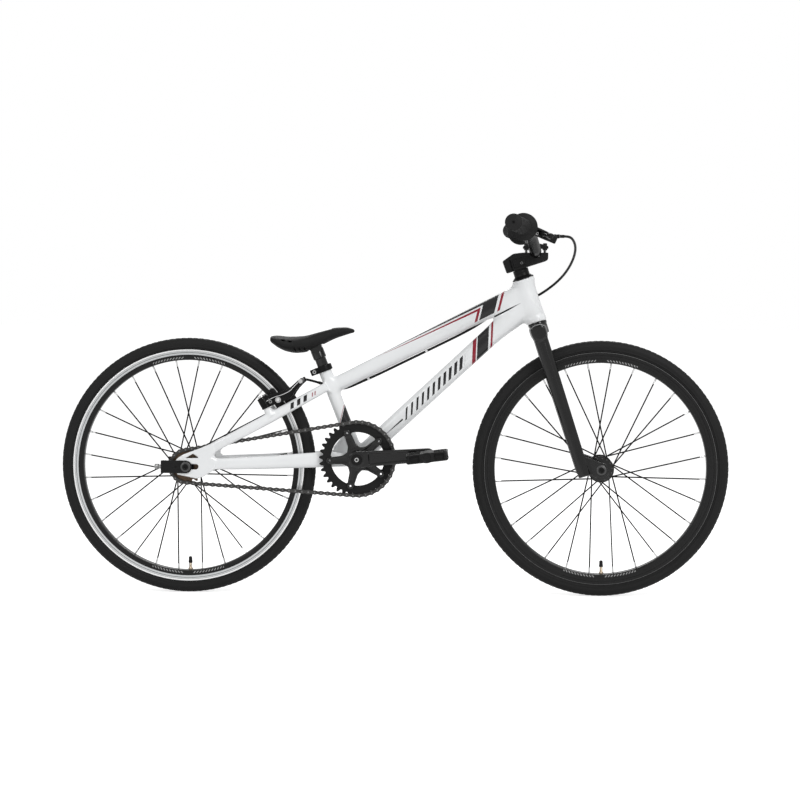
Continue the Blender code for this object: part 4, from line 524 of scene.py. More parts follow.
def blockField(p, centre, axes, half, edge=1):
    q = np.abs((p - centre) @ np.array(axes).T) - (np.array(half) - edge)
    return np.linalg.norm(np.maximum(q, 0), axis=1) + np.minimum(q.max(1), 0) - edge


def outlineField(p, outline, y, half, edge=0.6):
    # a flat plate with a polygon outline of (x, z) points
    outline = np.array(outline, float)
    low, high = outline.min(0) - 12, outline.max(0) + 12
    flat = p[:, (0, 2)]
    near = np.all((flat > low) & (flat < high), 1) & (np.abs(p[:, 1] - y) < half + 12)
    result = np.full(len(p), 12.0)
    q = flat[near]
    best = np.full(len(q), np.inf)
    sign = np.ones(len(q))
    for a, b in zip(outline, np.roll(outline, 1, 0)):
        e = b - a
        w = q - a
        share = np.clip((w @ e) / (e @ e), 0, 1)
        best = np.minimum(best, ((w - share[:, None] * e) ** 2).sum(1))
        above = q[:, 1] >= a[1]
        below = q[:, 1] < b[1]
        turning = e[0] * w[:, 1] > e[1] * w[:, 0]
        sign = np.where((above & below & turning) | ~(above | below | turning), -sign, sign)
    result[near] = softMax(sign * np.sqrt(best), np.abs(p[near, 1] - y) - half, edge)
    return result


def mirrored(p):
    return np.stack([p[:, 0], np.abs(p[:, 1]), p[:, 2]], 1)


def pullOnto(field, points, reach, rounds):
    small = 0.04
    for _ in range(rounds):
        slope = np.stack([field(points + d) - field(points - d) for d in np.eye(3) * small], 1) / (2 * small)
        move = slope * (-field(points) / ((slope ** 2).sum(1) + 1e-6))[:, None]
        length = np.linalg.norm(move, axis=1)
        points = points + move * np.minimum(1, reach / np.maximum(length, 1e-9))[:, None]
    return points


def skin(name, field, low, high, step, material, rounds=3):
    # the field's zero surface as an even net of quads; blocks of steps far from it are passed over
    low = np.asarray(low, float)
    span = 5
    blocks = np.ceil((np.asarray(high) - low) / step / span).astype(int) + 1
    counts = blocks * span
    place = np.indices(blocks).reshape(3, -1).T
    level = field(low + (place * span + span // 2) * step)
    inside = np.kron((level < 0).reshape(blocks), np.ones((span,) * 3, bool))
    near = place[np.abs(level) < step * span + 3] * span
    steps = np.indices((span,) * 3).reshape(3, -1).T
    for part in np.array_split(near, len(near) // 3000 + 1):
        nodes = (part[:, None] + steps).reshape(-1, 3)
        inside[tuple(nodes.T)] = field(low + nodes * step) < 0
    total = np.zeros(counts - 1, np.int8)
    for i in (0, 1):
        for j in (0, 1):
            for k in (0, 1):
                total += inside[i:counts[0] - 1 + i, j:counts[1] - 1 + j, k:counts[2] - 1 + k]
    mixed = (total > 0) & (total < 8)
    number = np.full(mixed.shape, -1)
    number[mixed] = np.arange(mixed.sum())
    points = low + (np.argwhere(mixed) + 0.5) * step
    quads = []
    for axis in range(3):
        side = np.moveaxis(inside, axis, 0)
        ids = np.moveaxis(number, axis, 0)
        i, j, k = np.nonzero(side[:-1, 1:-1, 1:-1] != side[1:, 1:-1, 1:-1])
        j, k = j + 1, k + 1
        quad = np.stack([ids[i, j - 1, k - 1], ids[i, j, k - 1], ids[i, j, k], ids[i, j - 1, k]], 1)
        turned = side[i, j, k] == (axis == 1)
        quad[turned] = quad[turned][:, ::-1]
        quads.append(quad)
    quads = np.concatenate(quads)
    pairs = np.concatenate([quads[:, (i, (i + 1) % 4)] for i in range(4)])
    share = np.bincount(pairs[:, 0], minlength=len(points))
    points = pullOnto(field, points, step, 3)
    for _ in range(rounds):
        middle = [np.bincount(pairs[:, 0], points[pairs[:, 1], i], len(points)) / share for i in range(3)]
        points = pullOnto(field, 0.4 * points + 0.6 * np.stack(middle, 1), step, 2)
    obj = newMesh(name, points, quads.tolist(), material, None, merge=False)
    print("  skinned", name, len(quads))
    return obj


# geometry node trees for what repeats or follows a line


def newTree(name, inputs):
    tree = bpy.data.node_groups.new(name, "GeometryNodeTree")
    tree.interface.new_socket("Geometry", in_out="INPUT", socket_type="NodeSocketGeometry")
    for title, kind in inputs.items():
        tree.interface.new_socket(title, in_out="INPUT", socket_type="NodeSocket" + kind)
    tree.interface.new_socket("Surface", in_out="INPUT", socket_type="NodeSocketMaterial")
    tree.interface.new_socket("Geometry", in_out="OUTPUT", socket_type="NodeSocketGeometry")
    sheet = Sheet(tree)
    entry = tree.nodes.new("NodeGroupInput")
    return sheet, {socket.name: Flow(sheet, socket) for socket in entry.outputs if socket.name}


def closeTree(sheet, given, shape):
    plain = sheet.add("GeometryNodeRealizeInstances", {}, {"Geometry": shape})
    smooth = sheet.add("GeometryNodeSetShadeSmooth", {}, {"Geometry": plain, "Shade Smooth": True})
    done = sheet.add("GeometryNodeSetMaterial", {}, {"Geometry": smooth, "Material": given["Surface"]})
    sheet.tree.links.new(done.socket, sheet.tree.nodes.new("NodeGroupOutput").inputs[0])
    return sheet.tree


lengthInputs = ("Centre", "Radius", "Offset", "Step", "Hub", "Rim", "Right", "Left", "Apart")


def grow(obj, tree, values, material, sharp=35.0):
    # runs a tree on an object and keeps the result as a plain mesh
    modifier = obj.modifiers.new("grow", "NODES")
    modifier.node_group = tree
    values = dict(values, Surface=finishes[material])
    for item in tree.interface.items_tree:
        if item.in_out == "INPUT" and item.name in values:
            value = values[item.name]
            if item.name in lengthInputs:
                value = tuple(np.multiply(value, milli)) if np.ndim(value) else float(value) * milli
            modifier[item.identifier] = value
    obj.update_tag()
    mesh = evaluated(obj)
    obj.modifiers.remove(modifier)
    mesh.name = obj.name
    obj.data = mesh
    if sharp:
        mesh.set_sharp_from_angle(angle=math.radians(sharp))
    return obj


def hoseTree():
    sheet, given = newTree("hose along a line", {"Radius": "Float", "Sides": "Int"})
    line = sheet.add("GeometryNodeMeshToCurve", {}, {"Mesh": given["Geometry"]})
    ring = {"Resolution": given["Sides"], "Radius": given["Radius"]}
    ring = sheet.add("GeometryNodeCurvePrimitiveCircle", {}, ring)
    tube = {"Curve": line, "Profile Curve": ring, "Fill Caps": True}
    return closeTree(sheet, given, sheet.add("GeometryNodeCurveToMesh", {}, tube))


def placed(sheet, given, position, shape, **more):
    points = sheet.add("GeometryNodePoints", {}, {"Count": given["Count"], "Position": position})
    values = {"Points": points, "Instance": shape, **more}
    return closeTree(sheet, given, sheet.add("GeometryNodeInstanceOnPoints", {}, values))


def aroundTree():
    # copies of a small shape round an axle, its own x pointing outwards
    inputs = {"Centre": "Vector", "Count": "Int", "Radius": "Float", "Phase": "Float", "Offset": "Float"}
    sheet, given = newTree("copies round an axle", inputs)
    index = sheet.add("GeometryNodeInputIndex")
    angle = given["Phase"] + index * fullTurn / given["Count"]
    reach = sheet.vector(angle.cosine() * given["Radius"], given["Offset"], angle.sine() * given["Radius"])
    place = sheet.shift(given["Centre"], reach)
    return placed(sheet, given, place, given["Geometry"], Rotation=sheet.turned(angle))


def rowTree():
    # copies of a shape in a straight row, each one step on from the last
    sheet, given = newTree("copies in a row", {"Step": "Vector", "Count": "Int"})
    index = sheet.add("GeometryNodeInputIndex")
    x, y, z = sheet.parts(given["Step"])
    place = sheet.vector(x * index, y * index, z * index)
    return placed(sheet, given, place, given["Geometry"])


def spokeTree():
    # crossed spokes in pairs; From and To pick a stretch of each spoke
    inputs = {key: "Float" for key in ("First", "Hub", "Rim", "Right", "Left", "Apart", "From", "To", "Radius")}
    inputs = {"Centre": "Vector", "Count": "Int", "Sides": "Int", "Cross": "Int", **inputs}
    sheet, given = newTree("crossed spokes", inputs)
    index = sheet.add("GeometryNodeInputIndex")
    rimAngle = given["First"] + (index + 0.5) * fullTurn / given["Count"]
    lean = 1.0 - ((index % 4.0) / 2.0).floor() * 2.0
    hubAngle = rimAngle + lean * given["Cross"] * (2 * fullTurn) / given["Count"]
    right = index % 2.0
    y = right * given["Right"] + (1.0 - right) * given["Left"] + lean * given["Apart"]
    root = sheet.vector(hubAngle.cosine() * given["Hub"], y, hubAngle.sine() * given["Hub"])
    tipY = (1.0 - right * 2.0) * 0.002 + lean * 0.0011
    tip = sheet.vector(rimAngle.cosine() * given["Rim"], tipY, rimAngle.sine() * given["Rim"])
    along = sheet.shift(tip, root, "SUBTRACT")

    def part(share):
        scaled = sheet.add("ShaderNodeVectorMath", {"operation": "SCALE"}, {0: along, "Scale": share})
        return sheet.shift(sheet.shift(root, scaled), given["Centre"])

    start = part(given["From"])
    reach = sheet.shift(part(given["To"]), start, "SUBTRACT")
    length = sheet.add("ShaderNodeVectorMath", {"operation": "LENGTH"}, {0: reach}, "Value")
    bar = {"Vertices": given["Sides"], "Radius": given["Radius"], "Depth": 1.0}
    bar = sheet.add("GeometryNodeMeshCylinder", {}, bar)
    bar = sheet.add("GeometryNodeTransform", {}, {"Geometry": bar, "Translation": (0, 0, 0.5)})
    turn = sheet.add("FunctionNodeAlignRotationToVector", {"axis": "Z"}, {"Vector": reach})
    return placed(sheet, given, start, bar, Rotation=turn, Scale=sheet.vector(1.0, 1.0, length))


def linkTree():
    # two kinds of chain link in turn, along a loop of roller centres
    sheet, given = newTree("chain links", {"Outer": "Object", "Inner": "Object", "Count": "Int"})
    index = sheet.add("GeometryNodeInputIndex")
    here = sheet.add("GeometryNodeInputPosition")
    settings = {"data_type": "FLOAT_VECTOR", "domain": "POINT"}
    after = {"Index": (index + 1.0) % given["Count"], "Value": here}
    after = sheet.add("GeometryNodeFieldAtIndex", settings, after)
    x, y, z = sheet.parts(sheet.shift(after, here, "SUBTRACT"))
    turn = sheet.turned(z.angle(x))
    both = []
    odd = index % 2.0
    for title, chosen in (("Outer", odd < 0.5), ("Inner", odd > 0.5)):
        link = sheet.add("GeometryNodeObjectInfo", {}, {"Object": given[title]}, "Geometry")
        values = {"Points": given["Geometry"], "Selection": chosen, "Instance": link, "Rotation": turn}
        both.append(sheet.add("GeometryNodeInstanceOnPoints", {}, values))
    return closeTree(sheet, given, sheet.add("GeometryNodeJoinGeometry", {}, {"Geometry": both}))


trees = {"hose": hoseTree(), "around": aroundTree(), "row": rowTree(), "spokes": spokeTree(),
         "links": linkTree()}
print("node trees:", len(trees))


def lineObject(name, points, loop=False):
    mesh = bpy.data.meshes.new(name)
    edges = [(i, i + 1) for i in range(len(points) - 1)]
    if loop:
        edges.append((len(points) - 1, 0))
    mesh.from_pydata(np.asarray(points, float) * milli, edges, [])
    return linked(bpy.data.objects.new(name, mesh))


def hose(name, points, radius, material, sides=16):
    return grow(lineObject(name, points), trees["hose"], {"Radius": radius, "Sides": sides}, material, 50.0)


def throughPoints(points, steps):
    # a smooth line through points
    points = [np.asarray(p, float) for p in points]
    ends = [2 * points[0] - points[1]] + points + [2 * points[-1] - points[-2]]
    line = []
    for a, b, c, d in zip(ends, ends[1:], ends[2:], ends[3:]):
        for i in range(steps):
            t = i / steps
            line.append(0.5 * (2 * b + (c - a) * t + (2 * a - 5 * b + 4 * c - d) * t ** 2
                               + (3 * b - a - 3 * c + d) * t ** 3))
    line.append(points[-1])
    return line


def above(along):
    return spot(-along[2], 0, along[0])


def loft(name, sections, material, sides=24, power=2.0, sharp=40.0):
    # sections of (centre, side, up, half width, half height), closed at both ends
    turn = np.arange(sides) * fullTurn / sides
    flat = np.sign(np.cos(turn)) * np.abs(np.cos(turn)) ** (2 / power)
    tall = np.sign(np.sin(turn)) * np.abs(np.sin(turn)) ** (2 / power)
    rings = [centre + np.outer(flat * wide, side) + np.outer(tall * high, up)
             for centre, side, up, wide, high in sections]
    return newMesh(name, np.concatenate(rings), ringFaces(len(sections), sides, False), material, sharp)


def roundEnds(sections, depth, steps=3):
    # the same sections, with the two ends rounded off over a depth
    along = unit(sections[-1][0] - sections[0][0])
    ends = []
    for first, way in ((sections[0], 1), (sections[-1], -1)):
        centre, side, up, wide, high = first
        cap = []
        for i in range(steps):
            angle = math.pi / 2 * i / steps
            shrink = depth * (1 - math.sin(angle))
            place = centre + along * way * depth * (1 - math.cos(angle))
            cap.append((place, side, up, wide - shrink, high - shrink))
        cap.append((centre + along * way * depth, side, up, wide, high))
        ends.append(cap)
    return ends[0] + list(sections[1:-1]) + ends[1][::-1]


def bolt(name, at, out, radius, height, material, socket=0.5, sides=24):
    # a round head with a chamfer and a hex socket
    out = unit(out)
    hole = radius * socket
    profile = [(0, 0), (radius, 0), (radius, height * 0.72), (radius * 0.86, height), (hole * 1.12, height),
               (hole, height * 0.86), (hole, height * 0.3), (0, height * 0.3)]

    def hexagon(number, size, turn):
        if number in (5, 6):
            return size / np.cos((turn + math.pi / 6) % (math.pi / 3) - math.pi / 6) * 0.92
        return np.full(len(turn), float(size))

    boltHead = lathed(name, profile, np.asarray(at), out, material, sides, shape=hexagon)
    floor = [(0, height * 0.25), (hole, height * 0.25), (hole, height * 0.5), (0, height * 0.5)]
    return gather(name, boltHead, lathed("socket", floor, np.asarray(at), out, "blackPaint", 18))


def nut(name, at, out, radius, height, material):
    out = unit(out)
    profile = [(0, 0), (radius * 0.9, 0), (radius, height * 0.15), (radius, height * 0.85),
               (radius * 0.9, height), (radius * 0.5, height), (radius * 0.45, height * 0.9), (0, height * 0.9)]

    def hexagon(number, size, turn):
        if 1 <= number <= 4:
            return np.minimum(size * 0.93 / np.cos((turn + math.pi / 6) % (math.pi / 3) - math.pi / 6), size)
        return np.full(len(turn), float(size))

    return lathed(name, profile, np.asarray(at), out, material, 24, shape=hexagon)


# a soft even sky, one broad sun, and long lamps for the tubes to mirror, placed in metres
lightPlan = {
    "sky": 0.47,
    "sunPower": 0.85,
    "sunAngle": 20.0,
    "sunFrom": (0.5, -0.8, 1.0),
    "lamps": (
        ((1.6, -2.3, 2.0), (0.1, 0, 0.35), (0.5, 1.8), 30.0),
        ((-1.9, -2.2, 1.7), (-0.1, 0, 0.35), (0.5, 1.6), 13.0),
        ((0.2, 2.4, 2.2), (0, 0, 0.35), (1.8, 0.7), 26.0),
    ),
    "floorHalf": 40000,
    "floor": 0.82,
    "floorGlow": 0.55,
    "mirrored": 0.5,
}


def aim(obj, place, at):
    way = Vector(at) - Vector(place)
    obj.matrix_world = Matrix.Translation(place) @ way.to_track_quat("-Z", "Z").to_matrix().to_4x4()
    bpy.context.scene.collection.objects.link(obj)


def backgroundRays(sheet, mirrored):
    # the rays that meet the white background: seen straight, through glass, and a share of it in mirrors
    rays = sheet.add("ShaderNodeLightPath")
    outputs = rays.socket.node.outputs
    through, glossy = (Flow(sheet, outputs["Is %s Ray" % kind]) for kind in ("Transmission", "Glossy"))
    return rays.most(through).most(glossy * mirrored)


def makeLight(plan):
    world = bpy.data.worlds.new("studio")
    bpy.context.scene.world = world
    world.use_nodes = True
    sky = Sheet(world.node_tree)
    seen = backgroundRays(sky, plan["mirrored"])
    back = world.node_tree.nodes["Background"]
    back.inputs["Color"].default_value = (1, 1, 1, 1)
    strength = plan["sky"] + seen * (1 - plan["sky"])
    world.node_tree.links.new(strength.socket, back.inputs["Strength"])
    sun = bpy.data.lights.new("sun", "SUN")
    sun.energy = plan["sunPower"]
    sun.angle = math.radians(plan["sunAngle"])
    aim(bpy.data.objects.new("sun", sun), plan["sunFrom"], (0, 0, 0))
    for number, (place, at, size, power) in enumerate(plan["lamps"]):
        lamp = bpy.data.lights.new("lamp%d" % number, "AREA")
        lamp.shape = "RECTANGLE"
        lamp.size, lamp.size_y = size
        lamp.energy = power
        aim(bpy.data.objects.new(lamp.name, lamp), place, at)
    paper = finishes["floor"] = bpy.data.materials.new("floor")
    far = plan["floorHalf"]
    corners = [(-far, -far, 0), (far, -far, 0), (far, far, 0), (-far, far, 0)]
    ground = newMesh("floor", corners, [(0, 1, 2, 3)], "floor", None)
    paper.use_nodes = True
    sheet = Sheet(paper.node_tree)
    nodes = paper.node_tree.nodes
    shader = nodes["Principled BSDF"]
    shader.inputs["Base Color"].default_value = shade(plan["floor"])
    shader.inputs["Roughness"].default_value = 0.9
    shader.inputs["Specular IOR Level"].default_value = 0.1
    shader.inputs["Emission Color"].default_value = (1, 1, 1, 1)
    glow = backgroundRays(sheet, plan["mirrored"]) * plan["floorGlow"]
    glow = sheet.add("ShaderNodeEmission", {}, {"Color": (1, 1, 1, 1), "Strength": glow})
    both = sheet.add("ShaderNodeAddShader", {}, {0: Flow(sheet, shader.outputs[0]), 1: glow})
    paper.node_tree.links.new(both.socket, nodes["Material Output"].inputs["Surface"])


makeLight(lightPlan)
print("light and floor")


# the brake cable: clipped under the top tube, then free at both ends
cablePlan = {
    "radius": 2.5,
    "clipRadius": 3.1,
    "underTube": ((0.125, 22), (0.21, 8), (0.3, 0), (0.5, 0), (0.62, 8), (0.7, 22), (0.77, 42), (0.83, 62),
                  (0.875, 76)),
    "clips": ((0.17, 14.0), (0.465, 0.0), (0.765, 40.5)),
    "front": ((-24.1, 1, 26), (-4.3, 2.4, 28.5), (18.9, 3.8, 26.5), (47.6, 13, 12), (67.2, 21.6, -12),
              (85.2, 33.1, -43), (100.8, 48.7, -79), (110.4, 64.4, -112), (113.6, 77.8, -140),
              (110.1, 90.4, -159)),
    "rear": ((27.1, 137.1, 13.5), (14.2, 141.1, 24), (1.6, 148.8, 36), (-10.9, 158, 47.5)),
    "ferrule": (3.1, 9),
}
barrelMouth = spot(319.64, -172, 708.36)


def anchor(y):
    # where the brake's wire crosses between the two arms
    return onStay(84.3, 34.5, y)


noodleLine = [anchor(56.5) + spot(29, 0, -6), anchor(60.5) + spot(19, 0, -3.5),
              anchor(62.5) + spot(9, 0, -1.2), anchor(60) + spot(2.5, 0, 0),
              anchor(54), anchor(45), anchor(24)]


def besideTopTube(share, turn, out):
    centre = topStart + (topEnd - topStart) * share
    wide = 11.8 + 3.7 * share + out
    deep = 14.5 + 4.1 * share + out
    angle = math.radians(turn)
    return centre - topUp * (deep * math.cos(angle)) + across * (wide * math.sin(angle))


def softened(line, rounds):
    # evens out the bends and keeps both ends
    line = np.array(line)
    for _ in range(rounds):
        line[2:-2] = line[2:-2] * 0.5 + (line[1:-3] + line[3:-1]) * 0.25
    return list(line)


def followOn(path):
    along = unit(path[-1] - path[-2])
    start = path[-1] + along * 0.3
    return [start, start + along * 5]


def ferrule(plan, at, along):
    radius, length = plan["ferrule"]
    profile = [(radius - 0.8, 0), (radius, 0.6), (radius, length - 0.6), (radius - 0.8, length)]
    profile = [(0, 0)] + profile + [(0, length)]
    return lathed("ferrule", profile, at, along, "blackPlastic", 16)


def makeCables(plan):
    off = plan["clipRadius"] + 0.3
    under = [besideTopTube(share, turn, off) for share, turn in plan["underTube"]]
    path = throughPoints(under, 6)
    pieces = [hose("cable", path, plan["radius"], "housing")]
    for share, turn in plan["clips"]:
        middle = besideTopTube(share, turn, off)
        after = besideTopTube(share + 0.005, turn + (1.3 if turn else 0.0), off)
        along = unit(after - middle)
        wall = plan["clipRadius"]
        ring = bothSides([(0, -2.6), (wall - 0.6, -2.6), (wall, -2.1)])
        pieces.append(lathed("clip", ring, middle, along, "clipWhite", 20))
    mount("brakeCableFrame", pieces, "frame", "black_plastic", "brake_cable_frame")

    points = followOn(path) + [onSteer(*place) for place in plan["front"]]
    mouth = barrelMouth + ahead * 0.3
    points += [mouth + ahead * 18, mouth + ahead * 5, mouth]
    line = softened(throughPoints(points, 6), 30)
    front = gather("brakeCableFront", hose("cable", line, plan["radius"], "housing"),
                   ferrule(plan, mouth, ahead))
    settle(front, ("frame", "steering", points[2], points[-3]), "black_plastic", "brake_cable_front")

    points = followOn(path[::-1]) + [onSeat(*place) for place in plan["rear"]]
    points += followOn(noodleLine[::-1])[::-1]
    line = softened(throughPoints(points, 6), 12)
    rear = gather("brakeCableRear", hose("cable", line, plan["radius"], "housing"),
                  ferrule(plan, points[-1], unit(points[-2] - points[-1])))
    settle(rear, ("frame", "left_brake", points[2], points[-2]), "black_plastic", "brake_cable_rear")
    print("cables")


makeCables(cablePlan)


# the frame's paint in metres: plain slanted bars and tapering lines in black and red on white
framePlan = {
    "white": (0.77, 0.782, 0.79, 1),
    "black": (0.004, 0.004, 0.005, 1),
    "red": (0.24, 0.004, 0.018, 1),
    "topBars": ((0.332, 0.365, "dark"), (0.3715, 0.3775, "red"), (0.3215, 0.328, "red")),  # from and to
    "downBars": ((0.3205, 0.351, "dark"), (0.357, 0.3625, "red"), (0.3075, 0.3175, "red")),
    "downRow": (0.128, 0.288, 0.0145, 0.0085),  # a row of bars: start, end, step, width
    "stayRow": (0.176, 0.218, 0.0145, 0.0075),
    "box": ((-436, -68, 226), (312, 68, 646)),
    "step": 1.8,
}


def alongTube(sheet, place, origin, way):
    # how far along a tube in the middle plane, and how far above its axis
    x, y, z = sheet.parts(place)
    x = x - float(origin[0] * milli)
    z = z - float(origin[2] * milli)
    a, b = float(way[0]), float(way[2])
    return x * a + z * b, z * a - x * b


def framePaint(plan):
    made = Surface("framePaint", {"Coat Roughness": 0.06, "Specular IOR Level": 0.3})
    sheet = made.sheet
    masks = {}

    def paint(kind, mask):
        masks[kind] = masks[kind].most(mask) if kind in masks else mask

    s, h = alongTube(sheet, made.place, topStart, topAlong)
    onTube = s.within(0.06, 0.4) * h.within(-0.0118, 0.026)
    w = s - h * 0.85
    # the long lines that taper away to the rear, under the tube's upper edge
    fade = (s - 0.1) / 0.235
    crown = 0.0149 + s * 0.0094
    redTop = crown - fade.most(0.0).root() * 0.0082
    redLow = redTop - fade * 0.0042
    for start, end, kind in plan["topBars"]:
        band = w.within(start, end) * onTube
        if kind == "red" and end < plan["topBars"][0][0]:
            band = band * (h < redTop)
        paint(kind, band)
    reach = s.within(0.1, 0.329)
    paint("red", reach * (h < redTop) * (h > redLow) * (w < plan["topBars"][2][1]))
    paint("dark", s.within(0.12, 0.352) * (h > crown - fade * 0.0055) * (w < 0.35))
    # a short line that ends in a point beside the head tube
    point = ((0.412 - s) / 0.03).least(1.0) * 0.0017
    paint("dark", s.within(0.352, 0.412) * ((h + 0.0186 - (s - 0.352) * 0.02).size() < point))

    s, h = alongTube(sheet, made.place, bracket, downAlong)
    onTube = s.within(0.03, 0.4) * h.within(-0.026, 0.0186)
    w = s - h * 1.0
    for start, end, kind in plan["downBars"]:
        paint(kind, w.within(start, end) * onTube)
    start, end, step, width = plan["downRow"]
    share = (w - start) / step
    tall = h.within(-0.0088, 0.0092)
    narrow = (width / step) * (0.55 + (s - start) * 2.9)
    paint("dark", w.within(start, end) * tall * ((share - share.floor()) < narrow) * onTube)
    wedge = (s - 0.062) / 0.062
    paint("dark", s.within(0.062, 0.1175) * (h < wedge * 0.0006 - 0.002) * (h > wedge * -0.0032 - 0.002))

    s, h = alongTube(sheet, made.place, stayRear, stayAlong)
    w = s - h * 0.6
    onTube = h.within(-0.0052, 0.0056)
    start, end, step, width = plan["stayRow"]
    share = (w - start) / step
    paint("dark", w.within(start, end) * ((share - share.floor()) < width / step) * onTube)
    for start in (0.2235, 0.2295):
        paint("red", w.within(start, start + 0.0022) * h.within(-0.0035, 0.0035))

    s, h = alongTube(sheet, made.place, bracket, seatUp)
    # beside this tube, h is counted backwards
    edge = (0.1075 - s) * 0.66 - 0.0127
    onTube = s.within(0.06, 0.108) * (h < 0.0125)
    paint("dark", onTube * (h < edge) * (h > -0.02))
    paint("red", onTube * (h < edge + 0.0024) * (h > edge + 0.0012))

    drift = sheet.noise(made.place, 14.0, 3.0)
    peel = sheet.noise(made.place, 420.0, 2.0)
    white = plan["white"]
    shaded = tuple(c * 0.965 for c in white[:3]) + (1,)
    colour = sheet.tint(drift, shaded, white)
    colour = sheet.tint(masks["dark"], colour, plan["black"])
    colour = sheet.tint(masks["red"], colour, plan["red"])
    rough = 0.2 + (drift - 0.5) * 0.08 + masks["dark"] * 0.06
    made.link(colour=colour, rough=rough, coat=0.3 + (peel - 0.5) * 0.1)
    made.bump(peel, 0.00003)
    return made.material


finishes["framePaint"] = framePaint(framePlan)

dropoutY = 57.5
slotHalf = 5.2


def dropoutShape():
    x, z = rearAxle[0], rearAxle[2]
    edge = stayRear - stayAlong * 0.3
    high = edge + stayUp * 11
    outline = [(x + 47.5, z + 19), (x + 56, z + 29), (high[0] + 8, high[2] + 3), (high[0], high[2]),
               (x - 4, z + 24.7), (x - 14, z + 18.6), (x - 20.5, z + 12.4), (x - 20.5, z - slotHalf + 1),
               (x - 18, z - 10), (x - 16.2, z - 15.5), (x, z - 18.7), (x + 20.6, z - 23.2),
               (x + 36.2, z - 18.9), (x + 56.7, z - 4.5), (x + 60, z + 13)]
    window = [(x - 1, z + 17), (x + 14.2, z + 25.8), (x + 26.8, z + 17.6)]
    slot = [(x - 30, z + slotHalf), (x + 21.5, z + slotHalf), (x + 25, z + 2.5),
            (x + 25, z - 2.5), (x + 21.5, z - slotHalf), (x - 30, z - slotHalf)]
    return outline, window, slot


def frameField(p):
    q = mirrored(p)
    headTube = roundField(q, head, steerUp, (
        (-44.5, 20), (-36.5, 20), (-30, 18.4), (24, 18.4), (33.5, 20), (38.5, 21.5), (44.5, 21.5)), 1.2)
    top = sweepField(q, topStart, topAlong, topUp, (
        (0, 0, 0, 11.8, 14.5), (200, 0, 0, 13.5, 16.4), (360, 0, 0, 15, 18), (432.95, 0, 0, 15.5, 18.6)), 2.2)
    down = sweepField(q, bracket, downAlong, downUp, (
        (0, 0, 0, 16.5, 17), (365, 0, 0, 17, 18), (462.07, 0, -5.5, 17, 24)), 2.4)
    seat = roundField(q, bracket, seatUp, ((0, 12.7), (196.2, 12.7)), 0.6)
    shell = roundField(q, bracket, across, ((-34, 20), (34, 20)), 1.2)
    low = spot(-352, 0, 260)
    chainStay = sweepField(q, low, ahead, upward, (
        (-12, 57.6, -0.5, 0.4, 10.5), (10, 56.6, -0.5, 2, 10.8), (36, 53.6, 0, 6.2, 11.4),
        (100, 43, 2.2, 7, 12.6), (192, 28, 7, 7, 15), (281, 24.5, 9, 7, 13.5)), 2.6)
    seatStay = sweepField(q, stayRear, stayAlong, stayUp, (
        (-12, 57.6, 1, 0.4, 9.4), (10, 57.3, 1.8, 2, 9), (36, 56.9, 1.6, 6.2, 9.3),
        (66.4, 56.6, 1, 6.8, 10), (134.05, 40, 0, 6.8, 10.2), (256, 13.5, 0, 6, 9)), 2.4)
    boss = roundField(q, onStay(0, 0, 40), stayUp, ((2, 8.6), (16.5, 8), (19, 7.2)))
    gusset = [tuple((bracket + spot(x, 0, z))[[0, 2]]) for x, z in (
        (-10, 6), (-50, 6), (-50, 20), (-30, 46), (-18, 46))]
    gusset = outlineField(q, gusset, 0.0, 9.5, 5)
    outline, window, slot = dropoutShape()
    plate = outlineField(q, outline, dropoutY, 2.5)
    stays = joined(chainStay, (seatStay, 3), (plate, 2))
    body = joined(top, (down, 12), (headTube, 11), (seat, 8), (shell, 6), (gusset, 7), (stays, 7), (boss, 4))
    # the hub's side of the dropout stays flat
    hubSide = blockField(q, rearAxle, (ahead, across, upward), (40, 55, 34), 4)
    holes = [outlineField(q, hole, dropoutY, 20) for hole in (window, slot)]
    body = carved(body, (holes[0], 0.8), (holes[1], 0.6), (hubSide, 1))
    # the head tube's two ends are cut square
    up = (q - head) @ steerUp
    side = np.sqrt(np.maximum(((q - head) ** 2).sum(1) - up * up, 0))
    ends = np.where(side < 34, np.abs(up) - 44.5, -1000)
    body = softMax(body, ends, 0.8)
    headCut = roundField(q, head, steerUp, ((-60, 14), (60, 14)))
    seatCut = roundField(q, bracket, seatUp, ((186, 11.3), (260, 11.3)))
    shellCut = roundField(q, bracket, across, ((-60, 16.8), (60, 16.8)))
    return carved(body, (headCut, 0.6), (seatCut, 0.5), (shellCut, 0.6))


def makeFrame(plan):
    obj = skin("frameSkin", frameField, *plan["box"], plan["step"], "framePaint", 3)
    settle(obj, "frame", "white_paint", "head_tube", "top_tube", "down_tube", "seat_tube", "bottom_bracket_shell",
           "chainstay_right", "chainstay_left", "seatstay_right", "seatstay_left", "dropout_right", "dropout_left")
    print("frame")


makeFrame(framePlan)

# the fork: two blades under a crown, in gloss black
forkPlan = {"box": ((205, -68, 228), (432, 68, 682)), "step": 1.6, "drop": -359.1, "rake": 32.4}


def forkPlate():
    low, rake = forkPlan["drop"], forkPlan["rake"]
    places = ((-6, 36), (12.5, 33), (rake + 3, 16), (rake + 9.5, 12),
              (rake + 12.5, 6), (rake + 12.5, -9), (rake + 9, -12.5), (rake + slotHalf, -14),
              (rake - slotHalf, -14), (rake - 13, -11), (4, -1), (-6, 4))
    return [tuple(onSteer(a, low + b)[[0, 2]]) for a, b in places]


